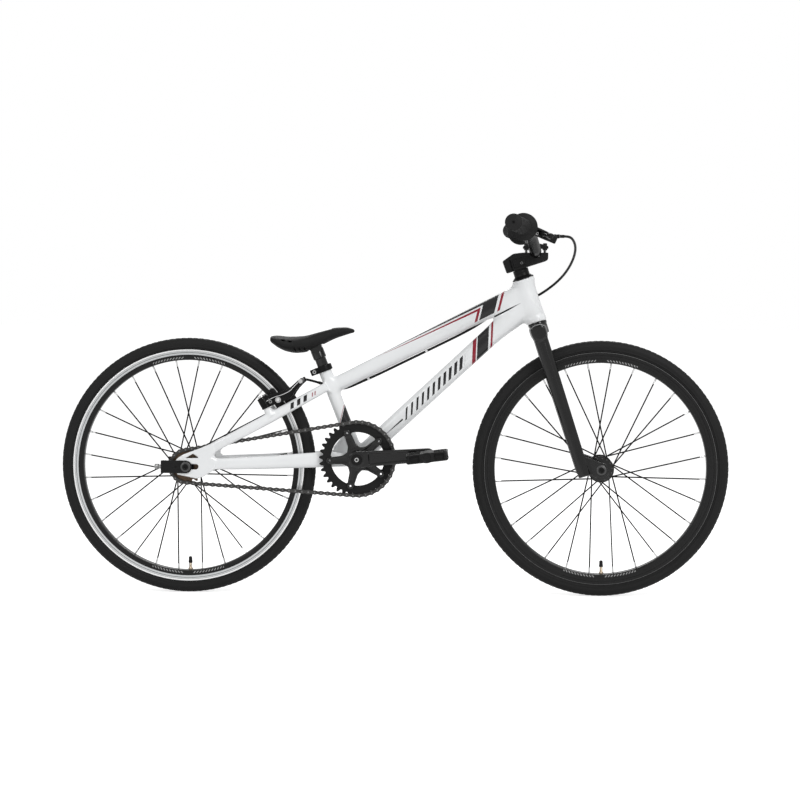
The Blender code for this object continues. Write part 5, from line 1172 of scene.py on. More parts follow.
def forkField(p):
    q = mirrored(p)
    low, rake = forkPlan["drop"], forkPlan["rake"]
    leg = sweepField(q, onSteer(-3, -59.8), -steerUp, steerAhead, (
        (-4, 39.6, 0, 9.5, 13.8), (20, 41.2, 0, 9.6, 13.8), (160, 49, 0, 8.4, 13),
        (288, 56.6, 0, 6.8, 12), (301, 57, 0, 6.6, 11.6)), 2.1, 1.5)
    crown = sweepField(q, onSteer(0, -63), across, steerUp, (
        (-1, 0, 0, 13.2, 12), (20, -1, 0, 14.2, 13.5), (38, -3, 0, 16, 14.8), (50.5, -3.5, -1, 13.8, 14)),
        2.6, 3, steerAhead)
    neck = roundField(q, head, steerUp, ((-70, 18), (-50.8, 18), (-50, 19), (-44.8, 19)))
    tube = roundField(q, head, steerUp, ((-70, 12.7), (92.5, 12.7)))
    plate = outlineField(q, forkPlate(), 53, 3)
    body = np.minimum(joined(crown, (leg, 6), (neck, 4), (plate, 3.5)), tube)
    slot = [tuple(onSteer(rake + a, low + b)[[0, 2]]) for a, b in (
        (-slotHalf, -30), (-slotHalf, 1.8), (-2.4, slotHalf), (2.4, slotHalf), (slotHalf, 1.8),
        (slotHalf, -30))]
    # the hub's side of the tips stays flat
    hubSide = blockField(q, onSteer(rake, low), (steerAhead, across, steerUp), (30, 50, 26), 3)
    return carved(body, (outlineField(q, slot, 53, 20), 0.6), (hubSide, 0.8))


def makeFork(plan):
    obj = skin("forkSkin", forkField, *plan["box"], plan["step"], "blackGloss", 3)
    pieces = []
    # a rib on each tip
    for side in (-1, 1):
        tip = [tuple(onSteer(a, plan["drop"] + b)[[0, 2]]) for a, b in (
            (7.5, 33), (10.5, 34.5), (36.5, 15), (34.5, 12.2))]
        pieces.append(flatPlate("rib", [tip], 2.6, side * 56.7, "blackGloss", 0.6))
    settle(obj, "steering", "black_paint", "fork")
    mount("forkRibs", pieces, "steering", "black_paint")
    print("fork")


makeFork(forkPlan)


# wheels: x ahead of the axle, z up; the front one black, the rear one with a bare braking track
wheelPlan = {
    "front": {"centre": frontAxle, "flange": 26, "barrel": 14, "right": -30, "left": 30, "half": 44.6},
    "rear": {"centre": rearAxle, "flange": 28, "barrel": 17, "right": -25, "left": 30, "half": 49.6},
    "crown": 252.9,
    "section": 14,
    "blocks": 132,
    "first": math.radians(271.0),
    "spokes": 28,
    "spokeEnd": 208.8,
    "nipple": 10.5,
}


def tyreRubber():
    made = Surface("tyreRubber", {"Specular IOR Level": 0.12})
    sheet = made.sheet
    x, y, z = sheet.parts(made.place)
    side = sheet.vector(x.size(), y, z)
    drift = sheet.noise(made.place, 16.0, 4.0)
    dust = sheet.noise(side, 700.0, 2.0)
    colour = sheet.tint(drift, shade(0.01), shade(0.016))
    made.link(colour=colour, rough=0.6 + (drift - 0.5) * 0.16 + (dust - 0.5) * 0.12)
    made.bump(dust, 0.00008)
    return made.material


def rimPaint(name, centre, track):
    # machined track with a groove line, a dark well, and small grey dashes along it; without the track, a thin
    # grey line along the outer edge is a painted highlight
    made = Surface(name, {"Specular IOR Level": 0.2})
    sheet = made.sheet
    x, y, z = sheet.parts(made.place)
    x = x - float(centre[0] * milli)
    z = z - float(centre[2] * milli)
    r = (x * x + z * z).root()
    drift = sheet.noise(made.place, 20.0, 3.0)
    lathe = sheet.noise(sheet.vector(r * 60.0, y * 20.0, 0.0), 60.0, 2.0)
    dark = sheet.tint(drift, shade(0.007), shade(0.012))
    face = y.size() > 0.009
    if track:
        bright = r.within(0.22, 0.2303) * face
        line = r.within(0.2236, 0.2246).most(r.within(0.227, 0.2275))
        dull = r.within(0.22, 0.227)
        metal = sheet.tint(lathe, shade(0.78), shade(0.96))
        metal = sheet.tint(dull * 0.6, metal, (0.4, 0.42, 0.43, 1))
        metal = sheet.tint(line, metal, shade(0.1))
        colour = sheet.tint(bright, dark, metal)
        made.link(metal=bright * (1.0 - line * 0.6), rough=0.3 + bright * (lathe - 0.4) * 0.16)
    else:
        # painted highlight: a thin grey line on both faces just inside the rim's outer edge
        line = r.within(0.2296, 0.2302) * face
        colour = sheet.tint(line * 0.5, dark, shade(0.25))
        made.link(rough=0.27 + (drift - 0.5) * 0.1 + line * 0.1)
    # dashes in two fans, top and bottom, on both sides
    angle = x.angle(z.size()).size()
    share = angle * 36.0 + (r - 0.2135) * 150.0
    step = share - share.floor()
    fan = angle.within(0.045, 0.34)
    dash = r.within(0.212, 0.2156) * fan * (step < 0.42) * face
    made.link(colour=sheet.tint(dash * 0.65, colour, shade(0.42)))
    made.bump(lathe, 0.00003)
    return made.material


finishes["tyreRubber"] = tyreRubber()
finishes["frontRim"] = rimPaint("frontRim", frontAxle, False)
finishes["rearRim"] = rimPaint("rearRim", rearAxle, True)


def makeTyre(name, body, centre, plan):
    crown = plan["crown"]
    half = [(crown, 2.2), (crown - 0.6, 5.2), (crown - 2.1, 8.2), (crown - 4.2, 10.7), (crown - 6.6, 12.5),
            (crown - 9.2, 13.5), (241.2, 13.7), (238.8, 13.4), (236.5, 12.7), (236, 13), (235.6, 13),
            (235, 12.2), (233.5, 11.2), (233, 11.4), (232.2, 11.2), (231.4, 10.2), (229, 9.3), (222.2, 9.1),
            (222.2, 6.6), (230, 7.2), (241.2, 10.8), (248, 6)]
    tyre = lathed(name, bothSides(half), centre, across, "tyreRubber", 160, True, sharp=50.0)
    # low tread blocks in five rows, those of the outer rows slanted
    pieces = [tyre]
    count, section = plan["blocks"], plan["section"]
    for y, phase, long, wide, lean in ((0, 0, 4.2, 1.9, 0), (4.2, 0.5, 4.2, 1.5, 0.6), (7.8, 0, 3.6, 1.4, 1.2)):
        for side in ((1,) if y == 0 else (-1, 1)):
            arc = math.asin(y / section) * side
            points = []
            for high, taper in ((-1.2, 1.0), (0.45, 0.86)):
                for a, b in ((-1, -1), (1, -1), (1, 1), (-1, 1)):
                    cross = b * wide * taper
                    # the block leans with the tyre's round section
                    points.append((high * math.cos(arc) - cross * math.sin(arc),
                                   high * math.sin(arc) + cross * math.cos(arc),
                                   a * long * taper + b * side * lean))
            block = newMesh("block", points, ringFaces(2, 4, False), "tyreRubber", 20.0)
            drop = section * (1 - math.cos(arc)) * 0.92
            values = {"Centre": tuple(centre), "Count": count, "Radius": crown - drop - 0.2 * (y > 0),
                      "Phase": phase * fullTurn / count, "Offset": y * side}
            pieces.append(grow(block, trees["around"], values, "tyreRubber", 20.0))
    mount(name + "Piece", pieces, body, "tyre_rubber", body.split("_")[0] + "_tyre")


def makeRim(name, body, centre, material):
    half = [(231, 9.7), (231, 10.7), (230.6, 11.4), (230.1, 11.5), (224.3, 11.5),
            (224, 11.2), (223.7, 11.5), (218.6, 11.5), (218.3, 11.2), (217.8, 11.2),
            (214, 11.3), (211.6, 11), (210.1, 10), (209.3, 8), (209, 5), (209, 0.0)]
    well = [(221.2, 0.0), (221.2, 8.8), (222.2, 9.7)]
    loop = half[:-1] + [(r, -h) for r, h in reversed(half)] + [(r, -h) for r, h in reversed(well)] + well[1:]
    rim = lathed(name, loop, centre, across, material, 180, True, sharp=28.0)
    settle(rim, body, "black_paint", body.split("_")[0] + "_rim")


def makeHub(name, body, plan, wheel):
    centre, flange, barrel, half = plan["centre"], plan["flange"], plan["barrel"], plan["half"]
    right, left = plan["right"], plan["left"]
    rear = body == "rear_wheel"
    profile = [(5.6, half), (10, half), (11.2, half - 1), (11.2, half - 4), (12.5, half - 6),
               (12.8, left + 3.5), (15, left + 1.6)]
    rim = bothSides([(flange - 0.8, 1.4), (flange, 0.8)])
    profile += [(r, left + h) for r, h in rim]
    profile += [(barrel + 3.5, left - 2), (barrel + 1.2, left - 3.5), (barrel, left - 7),
                (barrel - 1.2, left - 14), (barrel - 1.2, right + 14), (barrel, right + 7),
                (barrel + 1.2, right + 3.5), (barrel + 3.5, right + 2)]
    profile += [(r, right + h) for r, h in rim]
    if rear:
        profile += [(16, right - 1.6), (14.6, right - 2.4), (14.6, 0.8 - half), (14, -half), (5.6, -half)]
    else:
        profile += [(15, right - 1.6), (12.8, right - 3.5), (12.5, 6 - half), (11.2, 4 - half),
                    (11.2, 1 - half), (10, -half), (5.6, -half)]
    pieces = [lathed(name, profile, centre, across, "blackGloss", 64, True, sharp=32.0)]
    shared = {"Centre": tuple(centre), "Count": wheel["spokes"], "Sides": 6, "Cross": 2, "First": wheel["first"],
              "Hub": flange - 4.5, "Rim": wheel["spokeEnd"], "Right": right, "Left": left, "Apart": 1.1}
    share = 1 - wheel["nipple"] / (wheel["spokeEnd"] - flange)
    for radius, start, end, material in ((1.4, 0.0, share, "spokeBlack"), (1.8, share, 1.0, "nipple")):
        stretch = dict(shared, From=start, To=end, Radius=radius)
        seed = lineObject("spoke", [(0, 0, 0), (0, 0, 1)])
        pieces.append(grow(seed, trees["spokes"], stretch, material, 50.0))
    # the spokes' heads round each flange
    for y, way in ((right, -1), (left, 1)):
        for side in (-1, 1):
            dome = [(0, 0), (1.7, 0), (1.4, 0.9), (0.0, 1.3)]
            spokeHead = lathed("head", dome, spot(0, 0, 0), across * side, "axleSteel", 10)
            first = wheel["first"] + (0.5 + (0 if way > 0 else 1)) * fullTurn / wheel["spokes"]
            values = {"Centre": tuple(centre), "Count": wheel["spokes"] // 2, "Radius": flange - 4.5,
                      "Phase": first, "Offset": y + side * 1.4}
            pieces.append(grow(spokeHead, trees["around"], values, "axleSteel", 40.0))
    mount(name + "Piece", pieces, body, "black_paint", body.split("_")[0] + "_hub")


def makeTube(name, body, centre, wheel):
    # the tube inside the tyre, with the valve's stem, nut and cap
    out = heading(wheel["first"])
    loop = [(245.5, 0.0)] + bothSides([(243, 6.5), (238, 8), (230, 5), (224, 4.5)])
    pieces = [lathed(name, loop, centre, across, "tyreRubber", 96, True)]
    foot = centre + out * 222.5
    stem = [(0, -2), (3, -2)]
    for i in range(22):
        stem += [(3, i * 1.2), (2.7, i * 1.2 + 0.6)]
    stem += [(3, 26.8), (2.2, 28), (0, 28)]
    pieces.append(lathed("stem", stem, foot, -out, "brass", 20))
    pieces.append(nut("nut", foot - out * 13.8, -out, 4.8, 3, "brass"))
    cap = [(0, 0), (3.4, 0), (4, 0.6), (4, 4.2), (3.6, 5), (3.6, 10), (3, 12.2), (1.5, 13.2), (0, 13.4)]
    pieces.append(lathed("cap", cap, foot - out * 26.5, -out, "blackPlastic", 20))
    mount(name + "Piece", pieces, body, "black_rubber", body.split("_")[0] + "_tube")


for side in ("front", "rear"):
    plan = wheelPlan[side]
    makeTyre(side + "Tyre", side + "_wheel", plan["centre"], wheelPlan)
    makeRim(side + "RimPiece", side + "_wheel", plan["centre"], side + "Rim")
    makeHub(side + "Hub", side + "_wheel", plan, wheelPlan)
    makeTube(side + "Tube", side + "_wheel", plan["centre"], wheelPlan)
print("wheels")


# drive: the chainring, cranks and freewheel turn about their axles; the chain keeps its loop
drivePlan = {
    "plane": -42,
    "ringTeeth": 36,
    "ringPitch": 72.86,
    "cogTeeth": 16,
    "cogPitch": 32.55,
    "pitch": 12.7,
    "arm": (16.5, 13, 140),
    "boltCircle": 55,
    "spiderStart": 40.0,
    "spider": (43.6, 49),
    "pedalTilt": 7,
    "pedalMiddle": 122,
}


def toothed(centre, teeth, pitch, start):
    # round gaps for the rollers between tapering teeth, drawn from gap to gap
    flank = [(0.14, 3.1), (0.3, 1.8), (0.48, 0), (0.62, -2.6), (0.8, -4.1)]
    tooth = [(-1.0, -4.4)] + [(-share, rise) for share, rise in reversed(flank)] + flank
    outline = []
    for i in range(teeth):
        middle = start + (i + 0.5) * fullTurn / teeth
        for share, rise in tooth:
            angle = middle + math.pi / teeth * share
            outline.append((centre[0] + (pitch + rise) * math.cos(angle),
                            centre[2] + (pitch + rise) * math.sin(angle)))
    return outline


def arcPoints(centre, radius, start, end, steps):
    angles = np.radians(np.linspace(start, end, steps))
    return [(centre[0] + radius * math.cos(a), centre[2] + radius * math.sin(a)) for a in angles]


def driveAngle():
    way = bracket - rearAxle
    return math.atan2(way[2], way[0])


def makeChainring(plan):
    # the band with inward tabs for the spider's bolts
    outline = toothed(bracket, plan["ringTeeth"], plan["ringPitch"], driveAngle())
    hole = []
    for number in range(5):
        middle = plan["spiderStart"] + number * 72.0
        for turn in np.linspace(-36, 36, 37)[:-1]:
            # a tab's rounded edge reaches in by the bolt circle
            off = abs(turn) / 8.6
            reach = 52.8 - 5.6 * max(0.0, 1 - off ** 2) ** 0.5 if off < 1 else 52.8
            angle = math.radians(middle + turn)
            hole.append((bracket[0] + reach * math.cos(angle), bracket[2] + reach * math.sin(angle)))
    bolts = []
    for number in range(5):
        middle = math.radians(plan["spiderStart"] + number * 72.0)
        place = bracket + heading(middle) * plan["boltCircle"]
        bolts.append(arcPoints(place, 2, 0, 337.5, 12))
    ring = flatPlate("chainring", [outline, hole] + bolts, 2.6, plan["plane"], "blackSatin", 0.3)
    mount("chainringPiece", [ring], "crankset", "black_paint", "chainring")


def sidePlate(name, half, y, thickness, pitch, material):
    # a figure of eight from one roller to the next, along x
    outline = []
    for end, way in ((0.0, 180.0), (pitch, 0.0)):
        for turn in np.linspace(-115, 115, 9):
            angle = math.radians(way + turn)
            outline.append((end + half * math.cos(angle), half * math.sin(angle)))
        outline.append((pitch / 2, half * 0.6 * (1 if way == 0 else -1)))
    return flatPlate(name, [outline], thickness, y, material, 0.2)


def makeChain(plan):
    big, small, pitch = plan["ringPitch"], plan["cogPitch"], plan["pitch"]
    way = bracket - rearAxle
    distance = math.hypot(way[0], way[2])
    lean = math.asin((big - small) / distance)
    straight = distance * math.cos(lean)
    bigArc = big * (math.pi / 2 + lean)
    smallArc = small * (math.pi / 2 - lean)
    half = bigArc + straight + smallArc
    pairs = round(half / pitch)
    line = []
    turn = driveAngle()
    for i in range(2 * pairs):
        s = half * i / pairs
        sign = 1.0
        if s > half:
            s = 2 * half - s
            sign = -1.0
        if s < bigArc:
            a = s / big
            place = (distance + big * math.cos(a), big * math.sin(a))
        elif s < bigArc + straight:
            a = math.pi / 2 + lean
            place = (distance + big * math.cos(a) - (s - bigArc) * math.sin(a),
                     big * math.sin(a) + (s - bigArc) * math.cos(a))
        else:
            a = math.pi - (half - s) / small
            place = (small * math.cos(a), small * math.sin(a))
        x, z = place[0], sign * place[1]
        line.append(rearAxle + spot(x * math.cos(turn) - z * math.sin(turn), plan["plane"],
                                    x * math.sin(turn) + z * math.cos(turn)))
    reach = half / pairs
    plates, pins = [], []
    for name, y in (("outer", 3.6), ("inner", 2.6)):
        plates.append(gather(name, *[sidePlate("plate", 4.2, side * y, 0.9, reach, "chainPlate")
                                     for side in (-1, 1)]))
    pin = bothSides([(0, -4.4), (1.5, -4.4), (1.7, -4)])
    for name, rows, steps in (("pins", pin, 10), ("rollers", rod(3.8, 2), 12)):
        pins.append(gather(name, *[lathed(name, rows, spot(end, 0, 0), across, "chainPin", steps)
                                   for end in (0.0, reach)]))
    pieces = []
    for links, material in ((plates, "chainPlate"), (pins, "chainPin")):
        given = {"Outer": links[0], "Inner": links[1], "Count": len(line)}
        pieces.append(grow(lineObject("chainLoop", line, True), trees["links"], given, material, 40.0))
        for link in links:
            bpy.data.objects.remove(link)
    mount("chainPiece", pieces, "frame", "black_chain", "chain")


def crankField(side):
    reach, tip, long = drivePlan["arm"]
    along = crankWay * -side
    up = above(along)
    y = side * 65
    inner = 43.6 if side < 0 else 38

    def field(p):
        q = p - bracket
        t = q @ along
        h = q @ up
        # the arm is a tapering bar with rounded ends and a long recess in its outer face
        share = np.clip(t / long, 0, 1)
        width = reach + (tip - reach) * share ** 0.7
        flat = np.sqrt(np.maximum(0, -t) ** 2 + np.maximum(0, t - long) ** 2 + h ** 2) - width
        body = softMax(flat, np.abs(p[:, 1] - y) - 7, 2.2)
        pocket = overlap(24 - t, t - 113, np.abs(h) - (width - 5.2 - share), side * -(p[:, 1] - side * 69.8))
        body = carved(body, (pocket, 2))
        boss = roundField(p, bracket, across * side, ((inner, 15.5), (56, 15.5), (63, 16)), 1)
        step = roundField(p, bracket, across * side, ((64, 15), (72, 14.2)), 1)
        return joined(body, (boss, 3), (step, 0.8))

    return field


def spiderField(p):
    # five arms out to the ring's bolts, broad at the root and rounded between
    inner, outer = drivePlan["spider"]
    q = p - bracket
    r = np.sqrt(q[:, 0] ** 2 + q[:, 2] ** 2)
    angle = np.degrees(np.arctan2(q[:, 2], q[:, 0])) - drivePlan["spiderStart"]
    angle = np.abs((angle + 36.0) % 72.0 - 36.0)
    side = r * np.sin(np.radians(angle))
    out = r * np.cos(np.radians(angle))
    width = np.interp(out, (10, 30, 55), (13.5, 8.5, 6.8))
    bar = np.where(out < 55, side - width, np.hypot(side, out - 55) - 6.8)
    flat = softMin(bar, r - 21.5, 12)
    body = softMax(flat, np.abs(-p[:, 1] - (inner + outer) / 2) - (outer - inner) / 2, 1.6)
    toe = np.hypot(side, out - 55)
    pocket = overlap(np.abs(side) - width * 0.52, 22 - out, out - 46.5, 48.4 + p[:, 1])
    return carved(body, (pocket, 1), (toe - 2, 0.4))


def makeCranks(plan):
    for side, hand in bothHands:
        name = hand.capitalize()
        along = crankWay * -side
        tip = bracket + along * plan["arm"][2]
        low = np.minimum(bracket, tip) - spot(17.5, 0, 17.5)
        high = np.maximum(bracket, tip) + spot(17.5, 0, 17.5)
        low[1], high[1] = (-74, -42) if side < 0 else (36, 74)
        pieces = [skin("crank" + name, crankField(side), low, high, 1.25, "blackGloss", 2)]
        if side < 0:
            low, high = bracket - spot(64, 0, 64), bracket + spot(64, 0, 64)
            low[1], high[1] = -50.2, -42.4
            pieces.append(skin("spider", spiderField, low, high, 1.15, "blackGloss", 2))
        mount("crankPiece" + name, pieces, "crankset", "black_paint", "crank_" + hand)
        # the axle's head in a raised ring, and a hex bolt in it
        at = bracket + across * side * 72.3
        cap = [(0, -3), (11.3, -3), (11.3, 1.2), (10.6, 2), (9.8, 2), (9, 1), (6, 1.2), (5.4, 0.8), (0, 0.8)]
        ring = lathed("cap", cap, at, across * side, "blackSatin", 40)
        boltHead = bolt("head", at + across * side * 0.6, across * side, 4.6, 3.2, "steel")
        mount("spindleEnd" + name, [ring, boltHead], "crankset", "steel")
    turned = bothSides([(0.4, 69.5), (9.5, 69.5)])
    settle(lathed("spindle", turned, bracket, across, "steel", 32), "crankset", "steel", "crank_spindle")


def makePedals(plan):
    tilt = heading(math.radians(plan["pedalTilt"]))
    up = above(tilt)
    for side, name in bothHands:
        centre = bracket - crankWay * side * plan["arm"][2]
        profile = [(0, 158), (3, 158), (4.1, 156.5), (4.1, 77.6), (7.8, 77.6), (9.1, 76.8), (9.1, 75.2),
                   (8, 74.5), (8, 72.8), (7, 72.3), (6.4, 72.3), (6.4, 58), (3.6, 58), (3, 60), (0, 60)]
        settle(lathed("pedalAxle" + name, profile, centre, across * side, "steel", 28), "crankset", "steel",
               "pedal_axle_" + name)

        def place(a, y, h):
            return centre + tilt * a + up * h + across * (side * (plan["pedalMiddle"] + y))

        # a moulded cage: outer frame with a toothed edge, cross bars and a barrel along the axle
        def field(p):
            q = p - centre
            a, h, y = q @ tilt, q @ up, side * q[:, 1] - plan["pedalMiddle"]
            # a long hexagon seen from the end, narrower at front and rear
            reach = 40.5 - np.maximum(0, np.abs(y) - 30) * 0.25
            tall = 8.9 - np.maximum(0, np.abs(a) - 30) * 0.05
            shell = overlap(np.abs(a) - reach, np.abs(h) - tall, np.abs(y) - 43.6)
            # windows through from top to bottom, and recesses in the front, rear and end faces
            bay = overlap(twoSlabs(a, 23.6, 10), twoSlabs(y, 20, 16.8))
            slots = overlap(twoSlabs(y, 20.5, 13), np.abs(h) - 4.8, 38.5 - np.abs(a))
            ends = overlap(twoSlabs(a, 24, 9.2), np.abs(h) - 5.6, 38.5 - np.abs(y))
            body = carved(shell, (bay, 1.8), (slots, 0.8), (ends, 0.8))
            barrel = roundField(p, centre, across * side, ((78.4, 9.8), (165.5, 9.8)), 1.5)
            bore = roundField(p, centre, across * side, ((70, 4.6), (160, 4.6)))
            # a shallow end cap where the barrel meets the outer face
            cap = overlap(np.hypot(a, h) - 7.8, 42.8 - y)
            return carved(joined(body, (barrel, 3)), (cap, 0.6), (bore, 0.4))

        low = centre + spot(-43, 0, -16.5)
        high = centre + spot(43, 0, 16.5)
        low[1], high[1] = sorted((side * 77.5, side * 166.5))
        pieces = [skin("pedal" + name, field, low, high, 1.3, "blackPlastic", 1)]
        # small grip teeth, one block repeated along the four long edges
        for way in (-1, 1):
            for rise in (-1, 1):
                block = loft("tooth", [(place(way * 35.2, -37.4, rise * 7), tilt, across, 3, 1.8),
                                       (place(way * 35.2, -37.4, rise * 9.1), tilt, across, 2.6, 1.3)],
                             "blackPlastic", 8, 4.0)
                step = across * side * 8.3
                pieces.append(grow(block, trees["row"], {"Step": tuple(step), "Count": 10}, "blackPlastic"))
        mount("pedalPiece" + name, pieces, name + "_pedal", "black_plastic", "pedal_" + name)


def makeFreewheel(plan):
    outline = toothed(rearAxle, plan["cogTeeth"], plan["cogPitch"], driveAngle() + math.pi)
    hole = arcPoints(rearAxle, 20, 0, 345, 24)
    cog = flatPlate("cog", [outline, hole], 2.6, plan["plane"], "bronze", 0.3)
    body = [(15.3, 48), (16.5, 48.2), (17.2, 47.6), (19, 47.6), (19.6, 48.2), (22.6, 48.2),
            (23.6, 47.4), (23.6, 37.2), (22.6, 36.2), (15.3, 36)]
    sleeve = lathed("sleeve", body, rearAxle, -across, "bronze", 56, True)
    mount("freewheelPiece", [cog, sleeve], "freewheel_cog", "steel", "freewheel")


makeChainring(drivePlan)
makeChain(drivePlan)
makeCranks(drivePlan)
makePedals(drivePlan)
makeFreewheel(drivePlan)
print("drive")


# steering: spacers, the stem and its cap, the bar, grips, and the brake lever on the right
steerPlan = {
    "stemHalf": 24.9,
    "capGap": 2.2,
    "bar": 11.1,
    "bend": (-14.3, 130, 40),
    "tip": (-47.2, 310, 49.2),
    "grip": 16.5,
    "gripLength": 115,
    "leverThickness": 7,
}
leverPivot = spot(288.21, -181, 711.48)
leverSeat = spot(254.5, -175, 724.29)
leverAxis = spot(0.40674, 0, 0.91355)
leverAlong = spot(0.91355, 0, -0.40674)


def barPoint(side, share):
    bend, tip = (barMiddle + spot(x, side * y, z) for x, y, z in (steerPlan["bend"], steerPlan["tip"]))
    return bend + (tip - bend) * share


def makeHeadsetCover():
    loop = [(13.1, 44.9), (21.2, 44.9), (21.7, 45.4), (21.7, 46.4), (21, 47.2),
            (16.6, 51), (15.6, 51.5), (15.4, 51.9), (15.4, 57.4), (15, 57.8),
            (15, 58.1), (15.4, 58.5), (15.4, 64.1), (15, 64.5), (13.1, 64.5)]
    settle(lathed("headsetCover", loop, head, steerUp, "blackSatin", 48, True), "steering", "black_paint",
           "headset_cover")


def stemField(p):
    bar = barMiddle
    outline = [onSteer(a, b) for a, b in ((-28, 64.9), (46, 64.9))]
    outline += [bar + spot(x, 0, z) for x, z in ((24.8, -17.2), (24.8, -steerPlan["capGap"]),
                                                 (-25, -steerPlan["capGap"]))]
    outline += [onSteer(a, b) for a, b in ((-4, 98.5), (-29, 90.5))]
    outline = filleted(outline, [3, 6, 6, 0.6, 4, 4, 2.5], 4, True)
    body = outlineField(p, np.array(outline)[:, (0, 2)], 0.0, steerPlan["stemHalf"], 2.4)
    q = p - head
    a, h = q @ steerAhead, q @ steerUp
    # a panel sunk into each side, the clamp's slot behind, and a waist below the bar's seat
    panel = overlap(-11 - a, a - 15, 70 - h, h - 87)
    groove = overlap(np.abs(a + 14.8) - 1, h - 89)
    sunk = overlap(np.minimum(panel, groove), 22.4 - np.abs(p[:, 1]))
    waist = overlap(np.hypot(a - 29, h - 56) - 11.5, 17 - np.abs(p[:, 1]))
    slit = overlap(a + 12.5, np.abs(p[:, 1]) - 1, 50 - h)
    steerer = roundField(p, head, steerUp, ((50, 12.9), (110, 12.9)))
    barSeat = roundField(p, bar, across, ((-50, 11.3), (50, 11.3)))
    return carved(body, (sunk, 0.8), (waist, 1.2), (slit, 0.4), (steerer, 0.4), (barSeat, 0.4))


def capField(p):
    q = p - barMiddle
    x, y, z = q[:, 0], q[:, 1], q[:, 2]
    top = np.interp(np.abs(x), (9, 25), (15.5, 10.5))
    body = softMax(softMax(np.abs(x) - 24.9, z - top, 2), np.maximum(5.8 - z, np.abs(y) - 24.8), 1.2)
    legs = overlap(twoSlabs(x, 18.5, 4.2), 3 - z, np.abs(y) - 23.5)
    body = joined(body, (softMax(legs, z - 8, 1), 1))
    # a waist across the middle between the bolts
    waist = np.hypot(y / 1.1, z - 18.5) - 5.2
    barSeat = roundField(p, barMiddle, across, ((-50, 11.3), (50, 11.3)))
    return carved(body, (waist, 1.5), (barSeat, 0.6))


def makeStem():
    low, high = barMiddle - spot(66, 27, 31), barMiddle + spot(28, 27, 3)
    low[0] = min(low[0], onSteer(-29.5, 90)[0] - 2)
    low[2] = onSteer(-28, 64.9)[2] - 10
    high[2] = max(high[2], onSteer(-4, 98.5)[2] + 3)
    pieces = [skin("stemSkin", stemField, low, high, 1.3, "blackSatin", 2)]
    for h in (73.5, 85.5):
        pieces.append(bolt("clampBolt", onSteer(-21.5, h, -24.2), -across, 3.2, 0.6, "darkSteel", 0.55))
    ring = [(0, 88), (12.5, 88), (12.5, 92.1), (11.2, 92.5), (4, 92.5), (3.4, 91.7), (0, 91.7)]
    pieces.append(lathed("steererCap", ring, head, steerUp, "blackSatin", 32))
    pieces.append(bolt("panelBolt", onSteer(6.2, 76, -22.2), -across, 2.9, 2, "darkSteel", 0.5))
    mount("stemPiece", pieces, "steering", "black_paint", "stem")
    low, high = barMiddle - spot(27, 27, -1), barMiddle + spot(27, 27, 18)
    pieces = [skin("capSkin", capField, low, high, 1.2, "blackSatin", 2)]
    for x in (-18.5, 18.5):
        for y in (-15, 15):
            at = barMiddle + spot(x, y, -4)
            pieces.append(lathed("shank", [(0, 0), (2.4, 0), (2.4, 9.5), (0, 9.5)], at, upward,
                                 "darkSteel", 14))
            pieces.append(bolt("capBolt", barMiddle + spot(x, y, 11.2), upward, 4, 5.2, "blackSatin"))
    mount("stemCapPiece", pieces, "steering", "black_paint", "stem_cap")


def makeHandlebar():
    path = [barPoint(-1, 0.9865), barPoint(-1, 0), barMiddle - across * 45, barMiddle + across * 45,
            barPoint(1, 0), barPoint(1, 0.9865)]
    line = filleted(path, [0, 35, 18, 18, 35, 0], 8)
    bar = hose("handlebar", line, steerPlan["bar"], "blackPaint", 28)
    settle(bar, "steering", "black_paint", "handlebar")


def makeGrip(side, name):
    tip, inward = barPoint(side, 1.0), unit(barPoint(side, 0) - barPoint(side, 1.0))
    long, wide = steerPlan["gripLength"], steerPlan["grip"]
    profile = [(0, 8), (2.5, 8), (2.5, 0.4), (2.9, 0), (wide - 2, 0), (wide - 0.4, 1.2), (wide, 2.6),
               (wide, 4.8), (wide - 1.3, 5.6)]
    rib = 3.4
    for i in range(int((long - 16) / rib)):
        start = 6.2 + i * rib
        profile += [(wide - 1.5, start), (wide - 0.4, start + rib * 0.25), (wide - 0.4, start + rib * 0.6),
                    (wide - 1.5, start + rib * 0.82)]
    profile += [(wide - 0.8, long - 8.5), (20, long - 5.2), (26.2, long - 3.6), (26.9, long - 2.6),
                (26.9, long - 1), (26.2, long - 0.2), (18, long), (11.5, long), (11.5, 9), (0, 9)]
    settle(lathed("gripPiece" + name, profile, tip, inward, "gripRubber", 44), "steering", "black_rubber",
           "grip_" + name)


def leverSpot(forward, outwards, rise):
    return leverPivot + leverAlong * forward - across * outwards + leverAxis * rise


def bracketField(p):
    way = unit(barPoint(-1, 1) - barPoint(-1, 0))
    collar = roundField(p, leverSeat, way, ((-8.8, 15.2), (8.8, 15.2)), 1.5)
    centre = leverSeat + leverAlong * 32 + leverAxis * 2 - across * 2
    q = p - centre
    a, y, h = q @ leverAlong, q[:, 1], q @ leverAxis
    # the body thins a little towards its mouth
    tall = 8.3 - np.clip((a - 4) * 0.035, 0, 1)
    block = softMax(np.maximum(np.abs(a) - 31.6, np.abs(y) - 8.3), np.abs(h) - tall, 2.2)
    slot = blockField(p, leverPivot - across * 7.5, (leverAlong, across, leverAxis), (13, 16, 3.9), 0.6)
    # a slit along the side for the wire, as on most levers
    side = overlap(np.abs(h + 5.2) - 0.6, 6 - a, -7.4 - y, y + 7)
    bore = roundField(p, leverSeat, way, ((-30, 11.3), (30, 11.3)))
    return carved(joined(collar, (block, 3)), (slot, 0.5), (side, 0.3), (bore, 0.4))


